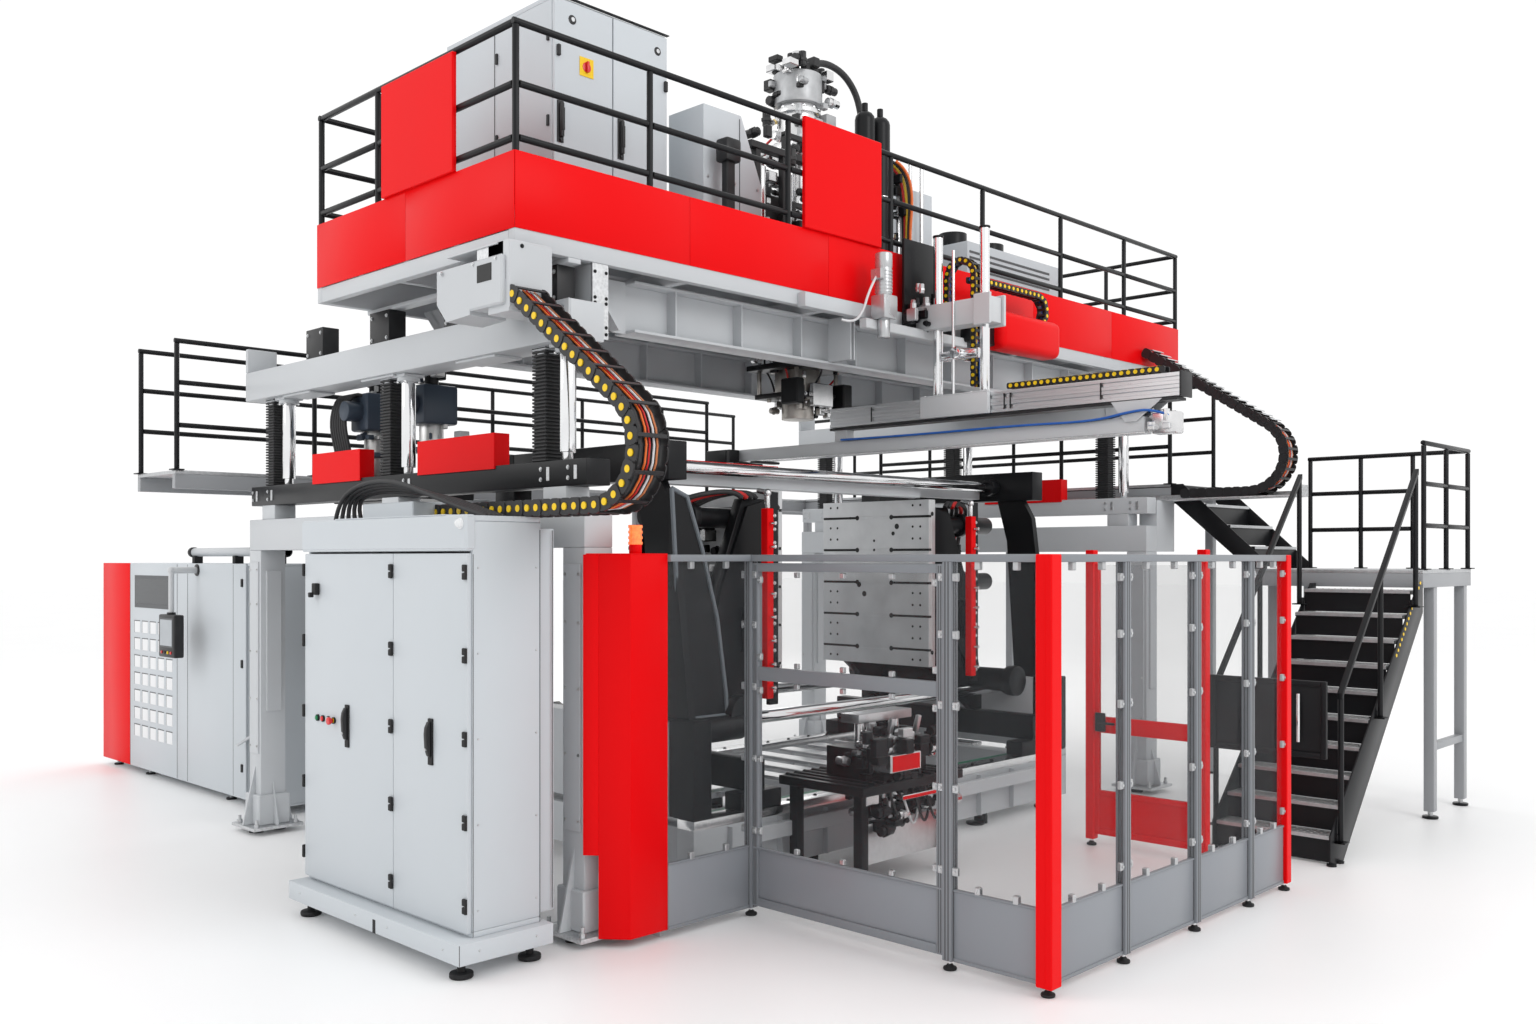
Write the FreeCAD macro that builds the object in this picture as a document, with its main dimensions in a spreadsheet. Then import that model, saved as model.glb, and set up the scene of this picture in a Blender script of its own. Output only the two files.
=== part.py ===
import math
import os
import re

import FreeCAD
import Part
import Sketcher

# A platform-type extrusion blow moulding line. Lengths are millimetres, +Z is up,
# +X runs along the raised platform and +Y runs away from the guarded front.
# The origin lies on the floor, under the middle of the whole line.

DOC = FreeCAD.newDocument("BlowMouldingMachine")
SHEET = DOC.addObject("Spreadsheet::Sheet", "Sheet")

SIZES = {
    # common sections
    "gap": 0.3, "skin": 30,
    # portal frame that carries the lift
    "portal_left": -3450, "portal_right": 2970, "portal_mid": -1000, "portal_half": 2050,
    "col_w": 200, "col_base": 65, "plate_w": 400, "plate_t": 25, "anchor_pitch": 310, "anchor_r": 13,
    "foot_r": 55, "gusset_w": 14, "gusset_rise": 330,
    "header_low": 2210, "header_high": 2450, "header_w": 200,
    "base_beam_low": 2560, "base_beam_high": 2710, "base_beam_w": 170,
    # lift columns
    "lift_reach": 1850, "lift_beam_low": 3385, "lift_beam_high": 3610, "lift_beam_w": 240,
    "tube_r": 48, "post_r": 32, "tube_clear": 50, "jack_off": 190, "jack_tube_r": 38, "jack_r": 22,
    "bellows_w": 140, "bellows_wall": 12, "guide_w": 130, "guide_len": 260, "guide_pitch": 950,
    # platform
    "plat_left": -3860, "plat_right": 3920, "plat_front": -2930, "plat_width": 2310,
    "plat_low": 3870, "channel_rise": 100, "channel_w": 60, "deck_top": 4100, "deck_t": 10,
    "rail_t": 30, "rail_w": 90, "fascia_top": 4400, "fascia_t": 6,
    "girder_low": 3550, "girder_w": 200, "girder_t": 18, "girder_left": -2830, "girder_right": 2600,
    "girder_front": -2620, "girder_back": -940,
    "guard_rise": 1040, "guard_w": 40, "guard_mid": 680, "guard_low": 380,
    "board_w": 820, "board_left_y": -2340, "board_front_x": -1530,
    # cabinet on the platform
    "upper_x": -3190, "upper_y": -2350, "upper_len": 930, "upper_wide": 1200, "upper_rise": 1550,
    # extruder and die head
    "barrel_r": 120, "screw_r": 50, "barrel_y": -880, "barrel_z": 4790, "barrel_left": -2700,
    "barrel_right": -470, "adapter_w": 280, "head_x": -330, "head_y": -1770, "head_block": 460,
    "motor_r": 150, "motor_len": 520, "hose_r": 28, "housing_x": -2000, "housing_len": 560,
    # clamp
    "clamp_x": -245, "clamp_y": -1770, "platen_gap": 1770, "platen_t": 90, "platen_wide": 1180,
    "platen_low": 1240, "platen_high": 2640, "slot_w": 22, "slot_deep": 38, "slot_count": 5,
    "tie_r": 45, "tie_up_y": -2250, "tie_up_z": 2780, "tie_low_y": -2450, "tie_low_z": 1020,
    "base_left": -2500, "base_right": 1900, "base_front": -2900, "base_back": -700,
    "base_foot": 90, "base_rail": 430, "base_rail_w": 160, "guide_rail": 60,
    # transfer robot in front of the platform
    "robot_x": -330, "rod_r": 35, "rod_front_y": -3590, "rod_back_y": -3180, "rod_low": 3330,
    "rod_high": 4500,
    "arm_low": 3170, "arm_rise": 150, "arm_w": 120, "arm_near": -5100, "arm_far": -2170,
    "grip_low": 2950, "grip_rise": 110, "grip_near": -4850, "grip_far": -1100, "jaw_open": 150,
    # control cabinet on the floor
    "cab_x": -4330, "cab_y": -3200, "cab_wide": 1800, "cab_deep": 450, "cab_low": 205, "cab_high": 2370,
    "door_low": 228, "door_high": 2175, "door_t": 28, "door_seam": -2454, "door_slit": 4,
    "plinth_low": 95, "plinth_out": 90, "plinth_side": 60, "header_out": 12,
    "button_r": 15, "button_z": 1197, "button_y": -1781, "button_pitch": 67,
    "handle_left": -1943, "handle_right": -2850, "handle_w": 34, "handle_len": 190, "handle_top": 1286,
    # deflashing station between the base and the fence
    "station_x": -1750, "station_len": 1060, "station_reach": 760, "station_deep": 740, "bench_low": 640,
    "bench_high": 700, "case_high": 900, "press_low": 1060, "press_high": 1120,
    # guard fence
    "fence_front": -5480, "fence_left": -2510, "fence_right": 370, "fence_top": 2170, "post_w": 60,
    "kick_low": 50, "kick_high": 420, "pane_t": 8, "door_bay": -4830, "bay_end": -3360,
    # service stairs and landing
    "stair_x": 1220, "stair_y": -5430, "stair_wide": 860, "riser": 188, "going": 182, "tread_count": 10,
    "landing_len": 1260, "landing_x": 3120, "landing_top": 2055, "landing_wide": 1400, "edge_rise": 145,
    "flight_going": 230, "walk_top": 2850, "walk_front": 1600, "walk_wide": 800,
    # parts handling unit behind the control cabinet
    "unit_x": -3190, "unit_front": 1500, "unit_end": 5520, "unit_high": 2100, "unit_deep": 900,
    "unit_low": 70,
    "unit_chute": 2050, "screen_y": 3080, "unit_grid": 3550, "unit_red": 4750,
    # energy chains
    "chain_left_x": -3870, "chain_right_x": 3280, "chain_w": 220, "chain_rise": 90, "tray_top": 2700,
    "left_bend_y": -3785, "left_bend_r": 330, "left_slope": 36, "left_top_end": -3050, "left_run_end": -2100,
    "right_bend_y": -3970, "right_bend_r": 360, "right_slope": 33, "right_run_end": -3330,
    "tray_front": -4400, "tray_back": -1800, "tray_leg": 180,
}

ROW = 1
for word, number in SIZES.items():
    SHEET.set(f"A{ROW}", word)
    SHEET.set(f"B{ROW}", str(number))
    SHEET.setAlias(f"B{ROW}", word)
    ROW += 1
DOC.recompute()

NODES = []


def formula(text):
    """Turn a formula written with bare size names into one that reads the sheet."""
    return re.sub(r"[a-z][a-z_]+", lambda found: "Sheet." + found.group(), str(text))


def value(text):
    """The number that a formula gives now."""
    return float(SHEET.evalExpression(formula(text)))


def bind(item, prop, text):
    item.setExpression(prop, formula(text))


def node(label, members):
    """Make one named sub-part out of one or more separate solids."""
    if len(members) == 1:
        item = members[0]
    else:
        item = DOC.addObject("Part::Compound", label)
        item.Links = members
    item.Label = label
    NODES.append(item)
    return item


def block(x, y, z):
    """A box between two planes along each axis, given as (low, high) formulas."""
    item = DOC.addObject("Part::Box", "block")
    for prop, letter, (low, high) in zip(("Length", "Width", "Height"), "xyz", (x, y, z)):
        bind(item, prop, f"({high}) - ({low})")
        bind(item, f".Placement.Base.{letter}", low)
    return item


TURN = {
    "x": FreeCAD.Rotation(FreeCAD.Vector(0, 1, 0), 90),
    "y": FreeCAD.Rotation(FreeCAD.Vector(1, 0, 0), -90),
    "z": FreeCAD.Rotation(),
}


def rod(axis, start, length, radius):
    """A cylinder along a row axis from a start point of three formulas."""
    item = DOC.addObject("Part::Cylinder", "rod")
    item.Placement = FreeCAD.Placement(FreeCAD.Vector(), TURN[axis])
    bind(item, "Radius", radius)
    bind(item, "Height", length)
    for letter, text in zip("xyz", start):
        bind(item, f".Placement.Base.{letter}", text)
    return item


def cut(whole, tools):
    """Take tools away from a solid."""
    cutter = tools[0]
    if len(tools) > 1:
        cutter = DOC.addObject("Part::MultiFuse", "tools")
        cutter.Shapes = tools
    item = DOC.addObject("Part::Cut", "cut")
    item.Base = whole
    item.Tool = cutter
    return item


def tube(axis, start, length, outer, inner):
    """A round tube along a row axis."""
    return cut(rod(axis, start, length, outer), [rod(axis, start, length, inner)])


def prism(axis, low, high, outline):
    """A straight extrusion of an outline of formula pairs, in the plane square to an axis."""
    start = value(low)
    points = []
    for first, second in outline:
        a, b = value(first), value(second)
        points.append({
            "x": FreeCAD.Vector(start, a, b),
            "y": FreeCAD.Vector(a, start, b),
            "z": FreeCAD.Vector(a, b, start),
        }[axis])
    face = Part.Face(Part.makePolygon(points + points[:1]))
    depth = value(high) - start
    along = {"x": FreeCAD.Vector(depth, 0, 0), "y": FreeCAD.Vector(0, depth, 0),
             "z": FreeCAD.Vector(0, 0, depth)}
    item = DOC.addObject("Part::Feature", "prism")
    item.Shape = face.extrude(along[axis])
    return item


def span(middle, width):
    """Low and high formulas of a band about a middle."""
    return f"{middle} - ({width}) / 2", f"{middle} + ({width}) / 2"


def after(start, length):
    """Low and high formulas of a band that starts at a plane."""
    return start, f"{start} + ({length})"


PORTALS = ("portal_left", "portal_right")
SIDES = (-1, 1)
LIFT_STEPS = (-1, 0, 1)
PLAT_BACK = "plat_front + plat_width"


# ---------------------------------------------------------------- portal frame

def portal_frame():
    solids = []
    plates = []
    beams = []
    for x in PORTALS:
        for side in SIDES:
            y = f"(portal_mid + {side} * portal_half)"
            solids.append(block(span(x, "col_w"), span(y, "col_w"), ("col_base", "header_low")))
            for way in SIDES:
                root = f"{y} + {way} * col_w / 2"
                tip = f"{y} + {way} * (plate_w / 2 - 12)"
                solids.append(prism("x", f"{x} - gusset_w / 2", f"{x} + gusset_w / 2",
                                    [(root, "col_base"), (tip, "col_base"), (tip, "col_base + 25"),
                                     (root, "col_base + gusset_rise")]))
            plate = block(span(x, "plate_w"), span(y, "plate_w"), ("col_base - plate_t", "col_base"))
            holes = [rod("z", (f"{x} + {a} * anchor_pitch / 2", f"{y} + {b} * anchor_pitch / 2",
                               "col_base - plate_t - 1"), "plate_t + 2", "anchor_r")
                     for a in SIDES for b in SIDES]
            plates.append(cut(plate, holes))
            for a in SIDES:
                plates.append(rod("z", (f"{x} + {a} * 90", y, "0"), "col_base - plate_t", "foot_r"))
        reach = "(portal_half + col_w / 2)"
        solids.append(block(span(x, "header_w"), (f"portal_mid - {reach}", f"portal_mid + {reach}"),
                            ("header_low", "header_high")))
        for step in LIFT_STEPS:
            y = f"portal_mid + {step} * lift_reach"
            solids.append(block(span(x, "base_beam_w"), span(y, 220), ("header_high", "base_beam_low")))
        beams.append(block(span(x, "base_beam_w"), (f"portal_mid - {reach}", f"portal_mid + {reach}"),
                           ("base_beam_low", "base_beam_high")))
    node("portal_frame", solids)
    node("anchor_plates", plates)
    node("lift_base_beams", beams)


# ---------------------------------------------------------------- lift

def lift_places():
    """Middle points of the guide tube and of the jack at each lift column."""
    for x in PORTALS:
        for step in LIFT_STEPS:
            y = f"portal_mid + {step} * (lift_reach - 80)"
            yield x, f"({y} - jack_off / 2)", f"({y} + jack_off / 2)"


def lift():
    posts = []
    tubes = []
    bellows = []
    for x, guide_y, jack_y in lift_places():
        for y, outer, inner in ((guide_y, "tube_r", "post_r"), (jack_y, "jack_tube_r", "jack_r")):
            length = "lift_beam_low - base_beam_high - tube_clear"
            posts.append(rod("z", (x, y, "base_beam_high"), length, inner))
            tubes.append(tube("z", (x, y, "base_beam_high + tube_clear"), length, outer, f"{inner} + gap"))
        room = ("base_beam_high + gap", "lift_beam_low - gap")
        shell = block(span(x, "bellows_w"), span(jack_y, "bellows_w"), room)
        well = block(span(x, "bellows_w - 2 * bellows_wall"), span(jack_y, "bellows_w - 2 * bellows_wall"),
                     ("base_beam_high", "lift_beam_low"))
        bellows.append(cut(shell, [well]))
    node("guide_posts", posts)
    node("lift_tubes", tubes)
    node("lift_bellows", bellows)
    beams = []
    guides = []
    for x in PORTALS:
        low, high = "portal_mid - portal_half", "portal_mid + portal_half + 130"
        beams.append(block(span(x, "lift_beam_w"), (low, high), ("lift_beam_low", "lift_beam_high")))
        beams.append(block(span(x, "lift_beam_w"), (f"{high} - 40", high),
                           ("lift_beam_high", "lift_beam_high + 190")))
        for step in range(4):
            y = f"portal_mid - portal_half + 330 + {step} * guide_pitch"
            guides.append(block(span(x, "guide_w"), span(y, "guide_len"),
                                ("lift_beam_high", "plat_low - rail_t - gap")))
        side = -1 if x == "portal_right" else 1
        motor_x = f"{x} + {side} * (guide_w / 2 + 90)"
        middle = "portal_mid - portal_half + 330 + guide_pitch / 2"
        guides.append(block(span(motor_x, 140), span(middle, 260),
                            ("lift_beam_high", "lift_beam_high + 160")))
        guides.append(rod("x", (f"{motor_x} + 70", middle, "lift_beam_high + 80"), 300, 70) if side > 0 else
                      rod("x", (f"{motor_x} - 370", middle, "lift_beam_high + 80"), 300, 70))
    node("lift_beams", beams)
    node("traverse_guides", guides)


# ---------------------------------------------------------------- platform

GUARD_TOP = "(deck_top + guard_rise)"
FRONT_POSTS = (0, 970, 2190, 3290, 4460, 5630, 6730, 7740)
END_POSTS = (755, 1510, 2270)


def guard_run(posts, low_wall, high_wall, along, across):
    """Posts and rails of one straight guard rail. Posts are low formulas along the run."""
    solids = []

    def piece(run, height):
        return block(run, across, height) if along == "x" else block(across, run, height)

    for post in posts:
        solids.append(piece(after(post, "guard_w"), ("deck_top", f"{GUARD_TOP} - guard_w")))
    solids.append(piece((low_wall, high_wall), (f"{GUARD_TOP} - guard_w", GUARD_TOP)))
    for low, high in zip(posts, posts[1:]):
        for level in ("guard_mid", "guard_low"):
            solids.append(piece((f"{low} + guard_w", high), span(f"deck_top + {level}", "guard_w")))
    return solids


def platform():
    low, high = "plat_low", "plat_low + channel_rise"
    front, back = "plat_front", PLAT_BACK
    solids = [
        block(("plat_left", "plat_right"), after(front, "channel_w"), (low, high)),
        block(("plat_left", "plat_right"), (f"{back} - channel_w", back), (low, high)),
    ]
    inner = (f"{front} + channel_w", f"{back} - channel_w")
    solids.append(block(after("plat_left", "channel_w"), inner, (low, high)))
    solids.append(block(("plat_right - channel_w", "plat_right"), inner, (low, high)))
    bays = 6
    for place in range(1, bays):
        x = f"plat_left + {place} * (plat_right - plat_left) / {bays}"
        solids.append(block(span(x, "channel_w"), inner, (low, high)))
    joists = 5
    for place in range(joists):
        y = f"plat_front + channel_w / 2 + {place} * (plat_width - channel_w) / {joists - 1}"
        solids.append(block(("plat_left", "plat_right"), span(y, "channel_w"), (high, "deck_top - deck_t")))
    for y in ("girder_front", "girder_back"):
        run = ("girder_left", "girder_right")
        solids.append(block(run, span(y, "girder_w"), ("plat_low - girder_t", "plat_low")))
        solids.append(block(run, span(y, "girder_t"), ("girder_low + girder_t", "plat_low - girder_t")))
        solids.append(block(run, span(y, "girder_w"), ("girder_low", "girder_low + girder_t")))
    for x in PORTALS:
        solids.append(block(span(x, "rail_w"), (front, back), ("plat_low - rail_t", low)))
    # box under the near left corner that the left chain ends in
    solids.append(block(("chain_left_x - chain_w / 2", "plat_left + 160"),
                        ("left_top_end", "plat_front + 80"),
                        ("plat_low - 390", "plat_low")))
    # the rail that the transfer robot runs on hangs on the front channel
    solids.append(block(("robot_x - 1250", "robot_x + 1250"), ("plat_front - fascia_t - 70", "plat_front"),
                        ("plat_low - 20", "plat_low + 80")))
    node("platform_frame", solids)
    node("platform_deck", [block(("plat_left", "plat_right"), (front, back),
                                 ("deck_top - deck_t", "deck_top"))])

    skirt = (f"{high} + 2", "fascia_top")
    panels = []
    count = 6
    pitch = f"(plat_right - plat_left) / {count}"
    for place in range(count):
        run = (f"plat_left + {place} * {pitch}", f"plat_left + {place + 1} * {pitch} - 3")
        panels.append(block(run, ("plat_front - fascia_t", "plat_front"), skirt))
    for place in range(2):
        run = (f"plat_front + {place} * plat_width / 2", f"plat_front + {place + 1} * plat_width / 2 - 3")
        panels.append(block(("plat_left - fascia_t", "plat_left"), run, skirt))
        panels.append(block(("plat_right", "plat_right + fascia_t"), run, skirt))
    boards = [block(("plat_left - fascia_t", "plat_left"), after("board_left_y", "board_w"),
                    ("fascia_top", "fascia_top + 700")),
              block(after("board_front_x", "board_w"), ("plat_front - fascia_t", "plat_front"),
                    ("fascia_top", "fascia_top + 760"))]
    node("platform_fascia", panels + boards)

    posts = [f"plat_left + {place}" for place in FRONT_POSTS]
    solids = []
    for wall in ("plat_front", f"{back} - guard_w"):
        solids += guard_run(posts, "plat_left", f"plat_left + {FRONT_POSTS[-1]} + guard_w", "x",
                            after(wall, "guard_w"))
    for wall in ("plat_left", f"plat_left + {FRONT_POSTS[-1]}"):
        ends = [f"plat_front + {place}" for place in END_POSTS[:-1]]
        run = ["plat_front"] + ends + [f"{back} - guard_w"]
        pieces = guard_run(run, "plat_front + guard_w", f"{back} - guard_w", "y", after(wall, "guard_w"))
        # the corner posts already stand in the long runs
        solids += pieces[1:len(run) - 1] + pieces[len(run):]
    node("platform_railing", solids)


def box_shell(x, y, z, wall, open_side):
    """Flat panels of a rectangular housing; the side named in open_side, -x or -y, has none."""
    (x0, x1), (y0, y1), (z0, z1) = x, y, z
    solids = [block(x, y, (z0, f"{z0} + {wall}")), block(x, y, (f"{z1} - ({wall})", z1))]
    room = (f"{z0} + {wall}", f"{z1} - ({wall})")
    solids.append(block(x, (f"{y1} - ({wall})", y1), room))
    inner = (f"{y0} + {wall}", f"{y1} - ({wall})")
    if open_side == "-x":
        solids.append(block(x, (y0, f"{y0} + {wall}"), room))
    else:
        inner = (y0, f"{y1} - ({wall})")
        solids.append(block((x0, f"{x0} + {wall}"), inner, room))
    solids.append(block((f"{x1} - ({wall})", x1), inner, room))
    return solids


def upper_cabinet():
    x = after("upper_x", "upper_len")
    y = after("upper_y", "upper_wide")
    z = after("deck_top", "upper_rise")
    solids = box_shell(x, y, z, "skin", "-y")
    # fixed half of the front, beside the door
    seam = "(upper_x + upper_len / 2)"
    solids.append(block(("upper_x + skin", seam), after("upper_y", "skin"),
                        ("deck_top + skin", "deck_top + upper_rise - skin")))
    # mounting board inside, on the back wall
    solids.append(block(("upper_x + 90", "upper_x + upper_len - 90"),
                        ("upper_y + upper_wide - skin - 40", "upper_y + upper_wide - skin"),
                        ("deck_top + 120", "deck_top + upper_rise - 120")))
    for a in (100, 760):
        for b in (100, 1040):
            solids.append(rod("z", (f"upper_x + {a}", f"upper_y + {b}", "deck_top + upper_rise"), 45, 28))
    node("upper_cabinet", solids)
    leaf = ("upper_y - gap - door_t", "upper_y - gap")
    node("upper_door", [
        block((f"{seam} + 3", "upper_x + upper_len - 6"), leaf,
              ("deck_top + 20", "deck_top + upper_rise - 20")),
        block(span(f"{seam} + 60", 34), (f"{leaf[0]} - 30", leaf[0]),
              span("deck_top + upper_rise / 2", 190))])
    node("main_switch", [rod("y", ("upper_x + 250", "upper_y - gap - 32", "deck_top + 1150"), 32, 32),
                         block(span("upper_x + 250", 16), ("upper_y - gap - 52", "upper_y - gap - 32"),
                               span("deck_top + 1150", 70))])


def extruder():
    node("extruder_barrel", [
        tube("x", ("barrel_left", "barrel_y", "barrel_z"), "barrel_right - barrel_left", "barrel_r",
             "screw_r + gap")])
    # the screw starts at the gearbox's face and runs the barrel's whole bore
    core = rod("x", ("barrel_left - 122 + gap", "barrel_y", "barrel_z"),
               "barrel_right - barrel_left + 122 - 20", "screw_r")
    node("extruder_screw", [core])
    gear_x = ("barrel_left - 460", "barrel_left - 122")
    node("drive_motor", [
        block(gear_x, span("barrel_y", 420), ("barrel_z - 200", "barrel_z + 200")),
        block(gear_x, span("barrel_y", 380), ("deck_top", "barrel_z - 200")),
        rod("z", ("barrel_left - 291", "barrel_y", "barrel_z + 200"), "motor_len", "motor_r"),
    ])
    low, high = "housing_x", "housing_x + housing_len"
    housing = [
        # sloping-topped housing beside the head
        prism("y", "plat_front + 480", "plat_front + 840", [
            (low, "deck_top"), (high, "deck_top"), (high, "deck_top + 700"),
            (f"{high} - 200", "deck_top + 1150"), (low, "deck_top + 1150")]),
        # feed throat and hopper
        block(after("barrel_left + 60", 220), span("barrel_y", 220),
              ("barrel_z + barrel_r", "barrel_z + barrel_r + 60")),
    ]
    for far in (500, 1700):
        # saddles that the barrel lies on
        housing.append(block(after(f"barrel_left + {far}", 160), span("barrel_y", 200),
                             ("deck_top", "barrel_z - barrel_r")))
    cone = DOC.addObject("Part::Cone", "hopper")
    for prop, text in (("Radius1", "90"), ("Radius2", "230"), ("Height", "360")):
        bind(cone, prop, text)
    for letter, text in zip("xyz", ("barrel_left + 170", "barrel_y", "barrel_z + barrel_r + 60")):
        bind(cone, f".Placement.Base.{letter}", text)
    housing.append(cone)
    housing.append(rod("z", ("barrel_left + 170", "barrel_y", "barrel_z + barrel_r + 420"), 260, 230))
    node("extruder_housing", housing)


def die_head():
    x, y = "head_x", "head_y"
    solids = [
        block(span(x, 760), span(y, 620), ("deck_top", "deck_top + 60")),
        rod("z", (x, y, "deck_top + 60"), 420, 210),
        block(span(x, "head_block"), span(y, "head_block"), ("deck_top + 480", "deck_top + 900")),
        rod("z", (x, y, "deck_top + 900"), 380, 150),
        block(span(x, 580), span(y, 420), ("deck_top + 1280", "deck_top + 1340")),
        rod("z", (x, y, "deck_top + 1340"), 500, 95),
        block(span(x, 300), span(y, 300), ("deck_top + 1840", "deck_top + 1900")),
        rod("z", (x, y, "deck_top + 1900"), 250, 50),
    ]
    for a in SIDES:
        for b in SIDES:
            solids.append(rod("z", (f"{x} + {a} * 256", f"{y} + {b} * 170", "deck_top + 60"), 1220, 22))
    # adapter that carries the melt from the barrel's mouth to the head
    solids.append(block(after("barrel_right", "adapter_w"), ("head_y + head_block / 2",
                                                             "barrel_y + barrel_r"),
                        ("barrel_z - barrel_r", "barrel_z + barrel_r")))
    node("die_head", solids)
    tooling = [
        rod("z", (x, y, "plat_low"), "channel_rise", 200),
        rod("z", (x, y, "plat_low - 60"), 60, 290),
        rod("z", (x, y, "plat_low - 170"), 110, 230),
        block(span(x, 620), span(y, 560), ("plat_low - 215", "plat_low - 170")),
        rod("z", (x, y, "plat_low - 400"), 185, 185),
        block(span(x, 520), span(y, 470), ("plat_low - 440", "plat_low - 400")),
        rod("z", (x, y, "plat_low - 600"), 160, 130),
    ]
    for a in SIDES:
        for b in SIDES:
            tooling.append(rod("z", (f"{x} + {a} * 235", f"{y} + {b} * 205", "plat_low - 400"), 185, 18))
    node("die_tooling", tooling)


def hydraulics():
    """Accumulator bottles beside the head and the power units on the right of the platform."""
    solids = []
    for place in range(2):
        x = f"head_x + 470 + {place} * 196"
        solids.append(rod("z", (x, "plat_front + 845", "deck_top + 120"), 1600, 84))
        solids.append(rod("z", (x, "plat_front + 845", "deck_top + 1720"), 70, 30))
    solids.append(block(("head_x + 384", "head_x + 750"), span("plat_front + 845", 190),
                        ("deck_top", "deck_top + 120")))
    solids.append(block(after("head_x + 470", 1050), ("plat_front + 950", "plat_front + 1750"),
                        ("deck_top", "deck_top + 1250")))
    solids.append(block(after("head_x + 1700", 1500), ("plat_front + 700", "plat_front + 1600"),
                        ("deck_top", "deck_top + 850")))
    solids.append(rod("z", ("head_x + 2100", "plat_front + 1150", "deck_top + 850"), 200, 130))
    solids.append(rod("z", ("head_x + 2700", "plat_front + 1150", "deck_top + 850"), 200, 130))
    node("hydraulic_units", solids)



def hose(points, radius):
    """A hose of straight runs joined by tangent arcs, each as large as its runs allow."""
    spots = [FreeCAD.Vector(*point) for point in points]
    edges = []
    start = spots[0]
    for before, corner, beyond in zip(spots, spots[1:], spots[2:]):
        come = (corner - before).normalize()
        leave = (beyond - corner).normalize()
        half = come.getAngle(leave) / 2
        reach = 0.45 * min((corner - before).Length, (beyond - corner).Length)
        bend = reach / math.tan(half)
        first = corner - come * reach
        last = corner + leave * reach
        middle = corner + (leave - come).normalize() * (bend / math.cos(half) - bend)
        edges.append(Part.LineSegment(start, first).toShape())
        edges.append(Part.Arc(first, middle, last).toShape())
        start = last
    edges.append(Part.LineSegment(start, spots[-1]).toShape())
    circle = Part.Wire([Part.makeCircle(radius, spots[0], (spots[1] - spots[0]).normalize())])
    item = DOC.addObject("Part::Feature", "hose")
    item.Shape = Part.Wire(edges).makePipeShell([circle], True, True)
    return item


# run and rise of the hose from the middle of the head's upper block
HOSE_ROUTE = ((90, 0), (90, 90), (160, 195), (330, 262), (550, 240), (710, 130), (785, -20), (812, -190),
              (820, -420), (820, -650))


def head_hose():
    """The fat hose that arches from the top of the head over to the hydraulic unit."""
    x, y, z = value("head_x"), value("head_y"), value("deck_top + 1900")
    node("hose_arch", [hose([(x + run, y, z + rise) for run, rise in HOSE_ROUTE], value("hose_r"))])


# ---------------------------------------------------------------- clamp

BASE_TOP = "(base_rail + guide_rail)"


def machine_base():
    solids = []
    for y in (after("base_front", "base_rail_w"), ("base_back - base_rail_w", "base_back")):
        solids.append(block(("base_left", "base_right"), y, ("base_foot", "base_rail")))
        solids.append(block(("base_left", "base_right"), y, ("base_rail", BASE_TOP)))
        for place in range(5):
            x = f"base_left + 150 + {place} * (base_right - base_left - 300) / 4"
            solids.append(rod("z", (x, f"({y[0]} + {y[1]}) / 2", "0"), "base_foot", "foot_r"))
    inner = ("base_front + base_rail_w", "base_back - base_rail_w")
    for place in range(3):
        x = f"base_left + 120 + {place} * (base_right - base_left - 240) / 2"
        solids.append(block(span(x, 200), inner, ("base_foot + 60", "base_rail")))
    # end frames that hold the tie bars, and the white beam along the top
    for x in ("base_left + 80", "base_right - 80"):
        for y in (after("base_front", 240), ("base_back - 240", "base_back")):
            solids.append(block(span(x, 160), y, (BASE_TOP, "tie_up_z + 130")))
        solids.append(block(span(x, 160), ("base_front + 240", "base_back - 240"),
                            ("tie_up_z - 120", "tie_up_z + 130")))
        solids.append(block(span(x, 160), ("base_front + 240", "base_back - 240"),
                            (BASE_TOP, "tie_low_z + 70")))
    node("machine_base", solids)
    bars = []
    run = "base_right - base_left - 320"
    mirror = "(base_front + base_back)"
    for y, z in (("tie_up_y", "tie_up_z"), ("tie_low_y", "tie_low_z")):
        for side_y in (y, f"{mirror} - ({y})"):
            bars.append(rod("x", ("base_left + 160", side_y, z), run, "tie_r"))
    # the lower bars lie outside the arms, the upper bars above the platens
    node("tie_bars", bars)


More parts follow.
